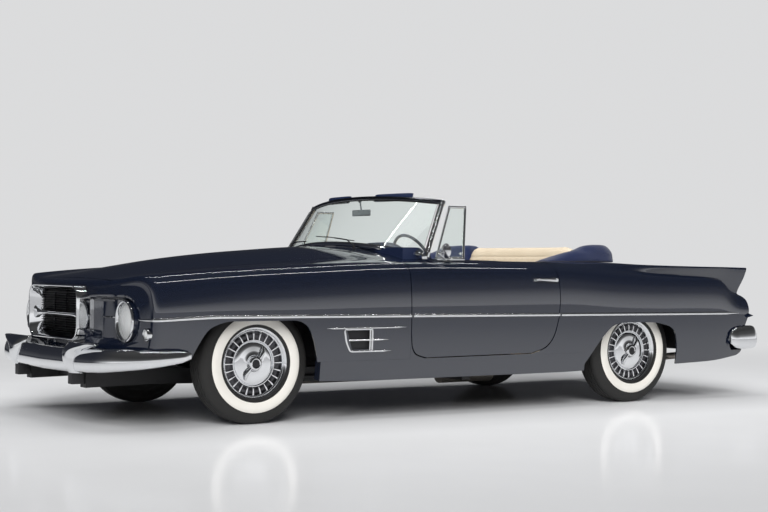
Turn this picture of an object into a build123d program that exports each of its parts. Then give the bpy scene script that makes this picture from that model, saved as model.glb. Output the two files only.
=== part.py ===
from build123d import *
import os
from math import cos, radians, sin

os.makedirs("parts", exist_ok=True)

# A full-size 1950s two-door convertible with its hood folded, in millimetres.
# Nose towards -Y, the car's left side towards +X, +Z up, floor at Z = 0, and
# the origin on the floor under the middle of the car's box. Places along the
# car are written from the front axle, rearwards, and at() moves them here.

# Driving dimensions
LENGTH = 5169
FRONT_OVERHANG = 1000
WHEELBASE = 2921
HALF_WIDTH = 993
TRIM_Z = 620

TYRE_R = 352
TYRE_W = 192
RIM_R = 216
TRACK = 1552
KINGPIN_X = 690

SKIN = 12
DOOR_SKIN = 26
DOOR_WALL = 90
SHEET = 6
SEAM = 7
SEAT_GAP = 0.3
RUN_GAP = 0.05
MOVE_GAP = 12

AXLE_Z = TYRE_R
WHEEL_X = TRACK / 2
FRONT_AXLE_Y = FRONT_OVERHANG - LENGTH / 2
REAR_AXLE = WHEELBASE


def at(y):
    """A place along the car, given from the front axle."""
    return FRONT_AXLE_Y + y


# Body sections, from the nose to the tail. Columns: y from the front axle, sill z,
# sill x, side x at the trim, then x and z of the shoulder, the crease, the top edge,
# the inner edge and the valley, then the centre's z and the bow below the top edge
SECTIONS = [
    (-900, 318, 872, 930, 908, 728, 886, 768, 842, 792, 790, 798, 600, 782, 790, 4),
    (-800, 318, 890, 950, 932, 760, 908, 808, 862, 838, 802, 844, 605, 822, 832, 4),
    (-600, 318, 915, 968, 952, 782, 925, 833, 872, 864, 812, 870, 615, 856, 882, 5),
    (-140, 300, 950, 986, 972, 815, 946, 868, 886, 899, 822, 903, 635, 901, 965, 6),
    (300, 245, 962, 992, 978, 835, 952, 890, 892, 921, 828, 926, 655, 938, 1010, 6),
    (900, 235, 966, 993, 980, 850, 954, 912, 894, 946, 828, 953, 690, 982, 1046, 6),
    (1250, 235, 966, 993, 980, 855, 955, 918, 895, 952, 828, 958, 720, 985, 1050, 6),
    (2200, 235, 966, 993, 981, 858, 955, 916, 896, 951, 832, 954, 770, 945, 950, 5),
    (2600, 245, 966, 993, 978, 853, 938, 906, 912, 949, 856, 955, 790, 942, 948, 2),
    (3000, 252, 962, 990, 973, 846, 926, 880, 928, 935, 884, 941, 800, 926, 938, -2),
    (3300, 259, 955, 984, 967, 840, 921, 867, 937, 930, 900, 935, 804, 912, 927, -3),
    (3600, 268, 946, 974, 957, 832, 914, 853, 943, 927, 908, 931, 806, 896, 914, -4),
    (3740, 282, 938, 966, 947, 810, 908, 834, 945, 926, 912, 930, 808, 886, 905, -4),
    (3830, 295, 932, 960, 937, 716, 902, 742, 945, 925, 913, 929, 809, 880, 899, -6),
    (4020, 320, 918, 950, 926, 694, 896, 720, 945, 922, 914, 926, 810, 866, 888, -6),
]
SIDE_BULGE = 8
SHOULDER_BULGE = 6
ROLL_BULGE = 7
EDGE_WIDTH = 8

# Where the panels meet, from the front axle
NOSE = -858
NOSE_CORNER = (880, -700)
FENDER_X = 560
HOOD_FRONT = -775
HOOD_REAR = 850
HOOD_X_FRONT = 575
HOOD_X_REAR = 672
COWL_X = 760
COWL_REAR = 1190
FIREWALL = 800
FIREWALL_TOP = 898
DOOR_FRONT = 1003
DOOR_REAR = 2171
DOOR_BOTTOM = 363
DOOR_TOP = 955
DOOR_ROUND = 130
POST_X0 = 862
POST_X1 = 886
DECK_FRONT = 2700
COVER_X = 850
COVER_IN = 690
COVER_Z = 953
LID_FRONT = 2960
LID_X = 745
TAIL_LIP_Z = 640
ROCKER_FRONT = 366
ROCKER_REAR = 2400
ROCKER_TOP = DOOR_BOTTOM - SEAM
ROCKER_W = 120
FLOOR_Z = 300
FLOOR_END = 2250
PAN_Z = 420
PAN_END = 2650
BOOT_Z = 554
BOOT_END = 3800
TUNNEL_X = 130
CABIN_X = HALF_WIDTH - ROCKER_W - SEAT_GAP
HOUSE_X = 640
FRONT_HOUSE_X = 508

# The tail in side view, from the fin's tip down, and the notch that the bumper's end
# passes through. Columns: y from the front axle, z
TAIL = [
    (3976, 975), (3958, 923), (3935, 846), (3893, 742), (3922, 722), (3960, 686), (3970, 626), (3962, 582),
    (3931, 517), (3912, 440), (3912, 200),
]
TAIL_NOTCH = [(4100, 517), (3931, 517), (3843, 504), (3790, 458), (3777, 363), (3800, 338), (4100, 338)]

# The wheel arches in side view. Columns: y from the front axle, z
FRONT_ARCH = [
    (-490, 200), (-470, 345), (-420, 470), (-345, 568), (-215, 603),
    (180, 603), (262, 574), (318, 470), (345, 345), (362, 200),
]
REAR_ARCH = [
    (2335, 200), (2445, 338), (2560, 472), (2650, 536), (2760, 552),
    (2980, 549), (3150, 520), (3215, 470), (3238, 350), (3238, 200),
]

# Lamps. Columns: x, y from the front axle, z, radius
HEADLAMP = (704, -745, 601, 112)
PARKING = (893, -690, 533, 36)
TAIL_LAMP = (880, 3925, 655, 44)

# Grille
GRILLE_X = 385
GRILLE_LOW = 479
GRILLE_TOP = 800
GRILLE_ROUND = 78
GRILLE_RIM = 14
GRILLE_THROAT = 46
GRILLE_FRONT = -905
GRILLE_REAR = -790
GRILLE_BAR_Z = 627
SLATS = 17
SLAT_FRONT = -838
SLAT_DEEP = 23
SLAT_POST = 6

# Windscreen. Columns: x, y from the front axle, z along its foot and its head
FOOT = (878, 1190, 984)
FOOT_MID = (0, 1000, 1061.5)
HEAD = (787, 1373, 1326)
HEAD_MID = (0, 1250, 1367)
POST_R = 14
GLASS_T = 6

# Sun visors: how far out, how high and how thick
VISOR_X = (150, 520)
VISOR_Z = (1338, 1395)
VISOR_T = 8

# The quarter light's corners. Columns: x, y from the front axle, z
VENT_WINDOW = [(866, 1270, 974), (866, 1478, 974), (803, 1537, 1296), (803, 1415, 1296)]

# Chrome strips on the side
TRIM_H = 16
TRIM_LIFT = 9
TRIM_DROP = 19

# Steering wheel
WHEEL_AT = (380, 1441, 933)
COLUMN_TILT = 25
COLUMN_R = 22
STEER_R = 205

# Hinges
DOOR_HINGE = (978, DOOR_FRONT + 30)
DOOR_HINGE_Z = (485, 790)
HOOD_HINGE = (HOOD_REAR - 100, 1007)
LID_HINGE = (LID_FRONT + 60, 912)
HINGE_X = 250
PIN_R = 6

# Frame
RAIL_X = 430
RAIL_W = 80
RAIL_DEEP = 90
RAIL_SIDE = RAIL_X + RAIL_W / 2
# Columns: y from the front axle, z of the rail's top
RAIL_TOP = [
    (-880, 308), (-480, 315), (620, 290), (760, FLOOR_Z), (2560, FLOOR_Z), (2760, BOOT_Z - SEAT_GAP),
    (3200, BOOT_Z - SEAT_GAP), (3400, 470), (3810, 470),
]
# Cross members. Columns: y from the front axle, middle z, length along the car
CROSSES = [
    (-670, 270, 60), (0, 255, 150), (1500, 255, 60), (2200, 255, 60), (3450, 425, 60), (3780, 425, 60),
]
# Outriggers. Columns: y from the front axle, bottom z
OUTRIGGERS = [(900, 262), (1500, 205), (2200, 240)]

# Bumper bars. Columns: x and y of the front face, bottom z, top z, depth
FRONT_BAR = [
    (0, -985, 306, 440, 46), (400, -975, 308, 446, 46), (700, -940, 318, 451, 46), (880, -855, 334, 453, 44),
    (968, -730, 348, 452, 42), (1000, -600, 366, 449, 36), (1003.5, -470, 387, 444, 28),
]
REAR_BAR = [
    (0, 4169, 398, 486, 44), (500, 4155, 394, 490, 44), (800, 4124, 380, 500, 46), (930, 4070, 356, 508, 48),
    (992, 3990, 348, 510, 48), (1002, 3880, 347, 512, 46), (1002, 3760, 362, 484, 26),
]
# The bar's outline. Columns: share of the depth from the face, share of the height
BAR_FORM = [(0.5, 0), (0.1, 0.14), (0, 0.38), (0.08, 0.62), (0.5, 0.95), (1, 1), (1, 0.1)]
# The overriders, level by level. Columns: z, inner x, outer x, front y, rear y
GUARD = [
    (306, 388, 518, -968, -915), (345, 376, 510, -992, -915), (392, 362, 508, -1000, -915),
    (428, 346, 548, -998, -910), (454, 333, 640, -988, -906), (474, 324, 718, -970, -904),
]

# The vent in the front fender, in side view. Columns: y from the front axle, z
VENT_FRAME = [(515, 548), (722, 548), (722, 412), (560, 412)]
VENT_SLOT = [(540, 536), (710, 536), (710, 424), (576, 424)]
# The vent's chrome bars. Columns: front y, rear y, z
VENT_BARS = [(500, 951, 552), (540, 850, 480), (556, 850, 412)]

# Wheel cover
COVER_SLOTS = 24
COVER_SLOT_R = 160

# The mirror on the left door. Columns: x, y from the front axle, z
MIRROR_FOOT = (905, 1327, 955)
MIRROR_ELBOW = (925, 1245, 1000)
MIRROR_HEAD = (930, 1290, 1016)


def box(x0, x1, y0, y1, z0, z1):
    """A block between two corners, its y given from the front axle."""
    middle = Pos((x0 + x1) / 2, at((y0 + y1) / 2), (z0 + z1) / 2)
    return middle * Box(abs(x1 - x0), abs(y1 - y0), abs(z1 - z0))


def prism_x(points, x0, x1):
    """A side view outline of (y, z) points, drawn out across the car."""
    outline = Polyline(*[(at(y), z) for y, z in points], close=True)
    face = Plane.YZ.offset(x0) * make_face(outline)
    return extrude(face, amount=x1 - x0)


def prism_z(points, z0, z1):
    """A plan view outline of (x, y) points, drawn upwards."""
    outline = Polyline(*[(x, at(y)) for x, y in points], close=True)
    face = Plane.XY.offset(z0) * make_face(outline)
    return extrude(face, amount=z1 - z0)


def prism_y(points, y0, y1):
    """A front view outline of (x, z) points, drawn rearwards."""
    outline = Polyline(*points, close=True)
    face = Plane.XZ.offset(-at(y0)) * make_face(outline)
    return extrude(face, amount=-(y1 - y0))


def rod(start, end, r):
    """A round bar between two points (x, y from the front axle, z)."""
    a = Vector(start[0], at(start[1]), start[2])
    b = Vector(end[0], at(end[1]), end[2])
    bar = Cylinder(r, (b - a).length, align=(Align.CENTER, Align.CENTER, Align.MIN))
    return Plane(origin=a, z_dir=b - a) * bar


def pipe(points, r):
    """Straight runs of a pipe, with a ball at each bend."""
    runs = [rod(a, b, r) for a, b in zip(points, points[1:])]
    bends = [Pos(x, at(y), z) * Sphere(r) for x, y, z in points[1:-1]]
    return merged(runs + bends)


def turned_x(profile, x, y, z):
    """A turned piece on an axis across the car, from (x, r) points."""
    face = make_face(Polyline(*profile, close=True))
    return Pos(x, at(y), z) * revolve(face, Axis.X)


def turned_y(profile, x, y, z):
    """A turned piece on an axis along the car, from (y, r) points."""
    face = make_face(Polyline(*profile, close=True))
    return Pos(x, at(y), z) * Rot(0, 0, 90) * revolve(face, Axis.X)


def other(shape):
    """The mirror image on the car's other side."""
    return mirror(shape, about=Plane.YZ)


def both(shape):
    """A piece and its mirror image."""
    return [shape, other(shape)]


def merged(shapes):
    """Several touching solids made one."""
    result = shapes[0]
    for shape in shapes[1:]:
        result = result + shape
    return result


def eased(solid, r):
    """A solid with its highest and its upper front edges rounded."""
    top = solid.faces().sort_by(Axis.Z)[-1]
    return fillet(top.edges(), r)


def save(name, *shapes):
    """Write one node, with every solid of the shapes given."""
    solids = []
    for shape in shapes:
        group = shape if isinstance(shape, (list, tuple)) else [shape]
        for item in group:
            solids.extend(item.solids())
    node = solids[0] if len(solids) == 1 else Compound(solids)
    export_step(node, f"parts/{name}.step")


def save_pair(name, shape):
    """Write a piece of the left side and its mirror image as two nodes."""
    save(f"{name}_left", shape)
    save(f"{name}_right", other(shape))


def section(row, inset):
    """One closed ring of the body, drawn in by an inset."""
    y, sill_z, sill_x, side_x, sh_x, sh_z, cr_x, cr_z, top_x, top_z, in_x, in_z, va_x, va_z, mid_z, bow = row
    base_z = sill_z - 60 if inset else sill_z
    points = [
        (sill_x - inset, base_z),
        (side_x - inset, TRIM_Z),
        (sh_x - inset, sh_z),
        (cr_x - inset, cr_z - inset / 2),
        (top_x - inset, top_z - inset),
        (min(in_x, top_x - inset - EDGE_WIDTH), in_z - inset),
        (va_x, va_z - inset),
    ]
    p = [Vector(x, at(y), z) for x, z in points]
    q = [Vector(-v.X, v.Y, v.Z) for v in p]
    bulges = [SIDE_BULGE, SHOULDER_BULGE, ROLL_BULGE, bow]
    middles = []
    for k, bulge in enumerate(bulges):
        run = (p[k + 1] - p[k]).normalized()
        middles.append((p[k] + p[k + 1]) * 0.5 + Vector(run.Z, 0, -run.X) * bulge)
    edges = [ThreePointArc(p[k], middle, p[k + 1]) for k, middle in enumerate(middles)]
    edges.append(Line(p[4], p[5]))
    edges.append(Line(p[5], p[6]))
    edges.append(ThreePointArc(p[6], Vector(0, at(y), mid_z - inset), q[6]))
    edges.append(Line(q[6], q[5]))
    edges.append(Line(q[5], q[4]))
    for k, middle in reversed(list(enumerate(middles))):
        edges.append(ThreePointArc(q[k + 1], Vector(-middle.X, middle.Y, middle.Z), q[k]))
    edges.append(Line(q[0], p[0]))
    return Wire(edges)


def end_limits(inset):
    """The nose in plan and the tail in side view, as one solid to keep."""
    corner_x, corner_y = NOSE_CORNER
    nose = ThreePointArc(
        (-corner_x + inset, at(corner_y + inset)),
        (0, at(NOSE + inset)),
        (corner_x - inset, at(corner_y + inset)),
    )
    wide = HALF_WIDTH + 60 - inset
    cheek = [(950 - inset, at(-630 + inset)), (980 - inset, at(-520 + inset))]
    right = ThreePointArc(nose @ 1, *cheek)
    left = ThreePointArc((-cheek[1][0], cheek[1][1]), (-cheek[0][0], cheek[0][1]), nose @ 0)
    rest = Polyline(
        right @ 1, (wide, at(-300)), (wide, at(4100)), (-wide, at(4100)), (-wide, at(-300)), left @ 0
    )
    plan = extrude(make_face([nose, right, rest, left]), amount=1200)
    tail = [(y - inset, z) for y, z in TAIL]
    side = prism_x([(-1000, 200), (-1000, 1200), (tail[0][0], 1200)] + tail, -1100, 1100)
    return plan & side


def hull(inset):
    """The closed outer form of the body, drawn in by an inset."""
    rings = [section(row, inset) for row in SECTIONS]
    return Solid.make_loft(rings, ruled=True) & end_limits(inset)


OUTER = hull(0)
INNER = hull(SKIN)
SHELL = OUTER - INNER
TRIM_SEAT = hull(-SEAT_GAP)
TRIM_FACE = hull(-TRIM_LIFT)


def door_outline(grow):
    """The door in side view, with round lower corners."""
    low = DOOR_BOTTOM - grow
    front = DOOR_FRONT - grow
    rear = DOOR_REAR + grow
    r = DOOR_ROUND
    top = 1200
    points = [(front, top), (front, low + r)]
    for step in (30, 60):
        points.append((front + r - r * cos(radians(step)), low + r - r * sin(radians(step))))
    points += [(front + r, low), (rear - 190, low + 8), (rear - 80, low + 66), (rear - 18, low + 200)]
    points += [(rear, low + 330), (rear - 8, 868), (rear - 40, 925), (rear - 78, 953), (rear - 78, top)]
    return points


def hood_outline(grow, front, rear):
    """The bonnet in plan view."""
    left, right = HOOD_X_FRONT + grow, HOOD_X_REAR + grow
    return [(-left, front), (left, front), (right, rear), (-right, rear)]


ARCH_CUT = merged([prism_x(FRONT_ARCH, 540, 1100), prism_x(REAR_ARCH, HOUSE_X, 1100)])
DOOR_CUT = prism_x(door_outline(SEAM), 700, 1100)
HOOD_CUT = prism_z(hood_outline(SEAM, HOOD_FRONT - SEAM, HOOD_REAR + MOVE_GAP), 740, 1200)


def lamp_cut(lamp):
    """The seat of a round lamp in the fender's front."""
    x, y, z, r = lamp
    return rod((x, y - 120, z), (x, y + 130, z), r + SEAT_GAP)


def front_fenders():
    """The fender from the headlamp to the door, with its arch and lamp seats."""
    fender = SHELL & box(FENDER_X, 1100, -900, DOOR_FRONT - SEAM, 200, 1200)
    fender = fender - ARCH_CUT - HOOD_CUT - lamp_cut(HEADLAMP) - lamp_cut(PARKING)
    fender = fender - box(500, 1100, ROCKER_FRONT - 40, DOOR_FRONT, 100, ROCKER_TOP + SEAT_GAP)
    fender = fender - box(500, COWL_X, HOOD_REAR + MOVE_GAP - 1, DOOR_FRONT + 5, 900, 1200)
    fender = fender - prism_x(VENT_SLOT, 700, 1100)
    save("front_fenders", both(fender))


def grille_ring(grow, y):
    """The grille's outline with its round corners, at one place along the car."""
    wide, high = 2 * (GRILLE_X + grow), GRILLE_TOP - GRILLE_LOW + 2 * grow
    plane = Plane(origin=(0, at(y), (GRILLE_LOW + GRILLE_TOP) / 2), x_dir=(1, 0, 0), z_dir=(0, -1, 0))
    return plane * RectangleRounded(wide, high, GRILLE_ROUND + grow)


def nose_panel():
    """The panel round the grille, between the two fenders."""
    half = FENDER_X - SEAT_GAP
    panel = SHELL & box(-half, half, -900, -600, 200, 1200)
    mouth = extrude(grille_ring(SEAT_GAP, -700), amount=300)
    save("nose_panel", panel - HOOD_CUT - mouth)


def grille():
    """A deep chrome shell with a cross bar, and the fine slats at its back."""
    shell = extrude(grille_ring(0, GRILLE_REAR), amount=GRILLE_REAR - GRILLE_FRONT)
    rings = [grille_ring(-GRILLE_RIM, GRILLE_FRONT), grille_ring(-GRILLE_THROAT, GRILLE_REAR)]
    shell = shell - Solid.make_loft([ring.wire() for ring in rings], ruled=True)
    half = GRILLE_X - GRILLE_RIM
    bar = box(-half, half, GRILLE_FRONT + 22, SLAT_FRONT - 7, GRILLE_BAR_Z - 12, GRILLE_BAR_Z + 12)
    bar = bar + rod((-half, GRILLE_FRONT + 22, GRILLE_BAR_Z), (half, GRILLE_FRONT + 22, GRILLE_BAR_Z), 12)
    bar = bar & extrude(grille_ring(-2, GRILLE_REAR), amount=GRILLE_REAR - GRILLE_FRONT)
    save("grille_surround", merged([shell, bar]))
    post_front = SLAT_FRONT + SLAT_DEEP
    post_rear = post_front + SLAT_POST
    taper = (GRILLE_THROAT - GRILLE_RIM) / (GRILLE_REAR - GRILLE_FRONT)
    seat = GRILLE_RIM + taper * (post_rear - GRILLE_FRONT) + SEAT_GAP
    inside = extrude(grille_ring(-seat, post_rear + 1), amount=60)
    low, top = GRILLE_LOW + seat, GRILLE_TOP - seat
    pitch = (top - low) / (SLATS + 1)
    slats = []
    for k in range(SLATS):
        z = low + pitch * (k + 1)
        slats.append(box(-GRILLE_X, GRILLE_X, SLAT_FRONT, post_front, z - 2, z + 2))
    for x in (-180, 0, 180):
        slats.append(box(x - 4, x + 4, post_front, post_rear, GRILLE_LOW, GRILLE_TOP))
    save("grille_slats", merged(slats) & inside)


def lamps():
    """Headlamps, parking lamps and tail lamps, each a turned body."""
    x, y, z, r = HEADLAMP
    profile = [
        (-66, 0), (-62, 45), (-48, 90), (-52, 97), (-66, 104), (-68, 112), (-62, 119), (-54, 120), (-54, r),
        (100, r), (100, 0),
    ]
    save("headlamps", both(turned_y(profile, x, y, z)))
    x, y, z, r = PARKING
    profile = [(-30, 0), (-26, 16), (-14, r - 10), (-22, r - 6), (-16, r), (60, r), (60, 0)]
    save("parking_lamps", both(turned_y(profile, x, y, z)))
    x, y, z, r = TAIL_LAMP
    profile = [(-80, 0), (-80, r), (40, r), (52, r - 16), (56, 0)]
    save("tail_lamps", both(turned_y(profile, x, y, z)))


def cowl():
    """The panel from the bonnet to the windscreen's foot, over the door pillars."""
    narrow = box(-COWL_X + SEAT_GAP, COWL_X - SEAT_GAP, HOOD_REAR + MOVE_GAP, COWL_REAR, 800, 1200)
    broad = box(-POST_X1, POST_X1, DOOR_FRONT - SEAM + SEAT_GAP, COWL_REAR, 800, 1200)
    save("cowl", SHELL & (narrow + broad))


def door_posts():
    """The pillar ahead of each door, with its hinge brackets and pins."""
    x, y = DOOR_HINGE
    post = box(POST_X0, POST_X1, DOOR_FRONT + 17, COWL_REAR, FLOOR_Z + SHEET, DOOR_TOP) & INNER
    post = post - box(800, 900, 900, 1300, 200, ROCKER_TOP + SEAT_GAP)
    pieces = [post]
    for z in DOOR_HINGE_Z:
        pieces.append(box(POST_X1 - 1, x, y - PIN_R, y + PIN_R, z - 15, z + 15))
        pieces.append(rod((x, y, z - 30), (x, y, z + 30), PIN_R))
    save("door_posts", both(merged(pieces)))


def rockers():
    """The sills below the doors."""
    solid = OUTER & box(HALF_WIDTH - ROCKER_W, 1100, ROCKER_FRONT, ROCKER_REAR, 200, ROCKER_TOP)
    save("rockers", both(solid - ARCH_CUT))


def quarters():
    """The rear quarter with its fin, from the door to the tail."""
    x, y, z, r = TAIL_LAMP
    quarter = SHELL & box(LID_X + SEAM, 1100, DOOR_REAR - 120, 4100, 200, 1200)
    quarter = quarter - ARCH_CUT - DOOR_CUT
    quarter = quarter - box(700, 1100, 2000, ROCKER_REAR + SEAT_GAP, 200, ROCKER_TOP + SEAT_GAP)
    quarter = quarter - box(700, COVER_X, 2000, DECK_FRONT, 700, 1200)
    quarter = quarter - rod((x, y - 90, z), (x, y + 90, z), r + SEAT_GAP) - prism_x(TAIL_NOTCH, 700, 1100)
    save("rear_quarters", both(quarter))


def hinge_eye(y, z, reach):
    """A lid's hinge strap round its pin, running up to the lid's skin."""
    strap = box(HINGE_X - 20, HINGE_X + 20, y - 10, y + 10, z, z + reach)
    eye = rod((HINGE_X - 20, y, z), (HINGE_X + 20, y, z), 10)
    bore = rod((HINGE_X - 21, y, z), (HINGE_X + 21, y, z), PIN_R - 1 + RUN_GAP)
    return both(strap + eye - bore)


def hinge_pin(y, z):
    """The pin that a lid's strap turns on, out to its bracket."""
    return rod((HINGE_X - 30, y, z), (HINGE_X + 21, y, z), PIN_R - 1)


def bonnet():
    """The bonnet, hinged at its rear edge."""
    y, z = HOOD_HINGE
    skin = SHELL & prism_z(hood_outline(0, HOOD_FRONT, HOOD_REAR), 740, 1200)
    save("bonnet", merged([skin] + [eye & OUTER for eye in hinge_eye(y, z, 20)]))


def rear_body():
    """The fixed deck under the folded top, the boot lid and the panel below it."""
    wide = LID_X + SEAM - SEAT_GAP
    deck = SHELL & box(-wide, wide, DECK_FRONT, LID_FRONT - MOVE_GAP, 700, 1200)
    y, z = LID_HINGE
    lid = SHELL & box(-LID_X, LID_X, LID_FRONT, 4100, TAIL_LIP_Z, 1200)
    save("boot_lid", merged([lid] + [eye & OUTER for eye in hinge_eye(y, z, 15)]))
    panel = SHELL & box(-wide, wide, 3700, 4100, 300, TAIL_LIP_Z - SEAM)
    for side in (-1, 1):
        panel = panel - box(side * 440 - 35, side * 440 + 35, 3700, 4100, 380, 480)
    save("rear_panels", deck, panel)


def doors():
    """Each door: its skin and inner box, with the pockets of its hinges."""
    x, y = DOOR_HINGE
    inner = [
        (COWL_REAR + 22, 1200), (COWL_REAR + 22, 900), (DOOR_FRONT + 40, 860), (DOOR_FRONT + 40, DOOR_BOTTOM + 120),
        (DOOR_FRONT + 150, DOOR_BOTTOM + 12), (DOOR_REAR - 220, DOOR_BOTTOM + 20),
        (DOOR_REAR - 60, DOOR_BOTTOM + 210), (DOOR_REAR - 24, 700), (DOOR_REAR - 24, 860), (DOOR_REAR - 100, 953),
        (DOOR_REAR - 100, 1200),
    ]
    skin = (OUTER - hull(DOOR_SKIN)) & prism_x(door_outline(0), 700, 1100)
    body = (OUTER - hull(DOOR_WALL)) & prism_x(inner, 700, 1100)
    body = body - box(700, x - DOOR_SKIN, 900, COWL_REAR + 22, 200, 1200)
    door = skin + body
    door = door - box(0, 890 - DOOR_WALL, 900, 2300, 200, 1200)
    door = door - box(700, POST_X1 + MOVE_GAP, 900, COWL_REAR + 22, 200, 1200)
    door = door - box(700, 1100, 900, 2300, DOOR_TOP, 1200)
    for z in DOOR_HINGE_Z:
        door = door - box(800, x + 7, DOOR_FRONT - 1, y + 14, z - 22, z + 22)
        door = door - rod((x, y, z - 31), (x, y, z + 31), PIN_R + RUN_GAP)
    save_pair("door", door)


def wheels():
    """Tyres and wheels, front and rear, each wheel with its drum and cover."""
    half = TYRE_W / 2
    bead = RIM_R - 6
    tyre = [
        (-60, bead), (-70, RIM_R + 6), (-half + 4, RIM_R + 40), (-half, RIM_R + 80), (-half + 10, TYRE_R - 20),
        (-half + 26, TYRE_R - 4), (-half + 50, TYRE_R), (half - 50, TYRE_R), (half - 26, TYRE_R - 4),
        (half - 10, TYRE_R - 20), (half, RIM_R + 80), (half - 4, RIM_R + 40), (70, RIM_R + 6), (60, bead),
    ]
    cover = [
        (-60, bead - SEAT_GAP), (66, bead - SEAT_GAP), (76, bead), (78, bead - 6), (62, RIM_R - 34), (54, 150),
        (66, 110), (82, 70), (90, 30), (92, 0), (38, 0), (44, 130), (48, RIM_R - 30), (-20, RIM_R - 30),
        (-60, RIM_R - 30),
    ]
    drum = [(-62, 18 + RUN_GAP), (-62, 148), (10, 148), (40, 100), (40, 0), (12, 0), (12, 18 + RUN_GAP)]
    for place, y in (("front", 0), ("rear", REAR_AXLE)):
        save_pair(f"tyre_{place}", turned_x(tyre, WHEEL_X, y, AXLE_Z))
        wheel = turned_x(cover, WHEEL_X, y, AXLE_Z)
        slots = []
        for k in range(COVER_SLOTS):
            slot = Rot(360 * k / COVER_SLOTS, 0, 0) * Pos(60, 0, COVER_SLOT_R) * Box(80, 22, 36)
            slots.append(Pos(WHEEL_X, at(y), AXLE_Z) * slot)
        wheel = wheel.cut(*slots) + turned_x(drum, WHEEL_X, y, AXLE_Z)
        save_pair(f"wheel_{place}", wheel)


KNUCKLE_LOW = AXLE_Z - 100
KNUCKLE_TOP = AXLE_Z + 110


def knuckles():
    """The stub axle, kingpin boss, backing plate and steering arm of each front wheel."""
    stub = rod((KINGPIN_X - 10, 0, AXLE_Z), (WHEEL_X + 10, 0, AXLE_Z), 18)
    plate = turned_x([(-80, 0), (-80, 98), (-74, 98), (-74, 0)], WHEEL_X, 0, AXLE_Z)
    boss = rod((KINGPIN_X, 0, KNUCKLE_LOW), (KINGPIN_X, 0, KNUCKLE_TOP), 16)
    arm = rod((KINGPIN_X, 0, AXLE_Z - 50), (KINGPIN_X - 30, 150, AXLE_Z - 60), 12)
    save_pair("knuckle", merged([boss, stub, arm, plate]))


def front_suspension():
    """Upper and lower arms to each knuckle, and the torsion bars behind them."""
    inner = RAIL_SIDE + SEAT_GAP

    def arm(half, z0, z1):
        plan = [(inner, -half), (KINGPIN_X, -16), (KINGPIN_X, 16), (inner, half)]
        return prism_z(plan, z0, z1) + rod((KINGPIN_X, 0, z0), (KINGPIN_X, 0, z1), 16)

    low = arm(60, KNUCKLE_LOW - SEAT_GAP - 30, KNUCKLE_LOW - SEAT_GAP)
    bar = rod((inner + 20, 40, KNUCKLE_LOW - 18), (inner + 20, 1470 - SEAT_GAP, KNUCKLE_LOW - 18), 13)
    high = arm(45, KNUCKLE_TOP + SEAT_GAP, KNUCKLE_TOP + 24)
    save("front_suspension", both(low + bar), both(high))


def chassis():
    """Two box rails, kicked up over the axle, with their cross members."""
    outline = RAIL_TOP + [(y, z - RAIL_DEEP) for y, z in reversed(RAIL_TOP)]
    rail = prism_x(outline, RAIL_X - RAIL_W / 2, RAIL_SIDE)
    tower = box(RAIL_X - 30, RAIL_SIDE, -60, 60, 290, KNUCKLE_TOP + 40)
    left = [rail, tower]
    for y, z in OUTRIGGERS:
        left.append(box(RAIL_X, CABIN_X, y - 30, y + 30, z, FLOOR_Z))
    for y in (REAR_AXLE - 600, REAR_AXLE + 600):
        left.append(box(RAIL_X, 520 - SEAT_GAP, y - 15, y + 15, 250, 410 if y > REAR_AXLE else 290))
    half = RAIL_X - RAIL_W / 2 + 1
    middle = [box(-half, half, y - wide / 2, y + wide / 2, z - 32, z + 32) for y, z, wide in CROSSES]
    for x in (-200, 200):
        middle.append(box(x - 40, x + 40, -50, 50, 280, 330 - SEAT_GAP))
    save("chassis_frame", merged(left + [other(s) for s in left] + middle))


def column_line():
    """The steering column's two ends, below the wheel's hub and ahead of the firewall."""
    x, y, z = WHEEL_AT
    slope = radians(COLUMN_TILT)
    run = (y - FIREWALL + 60) / cos(slope)
    return [(x, y - d * cos(slope), z - d * sin(slope)) for d in (15 + SEAT_GAP, run)]


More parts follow.
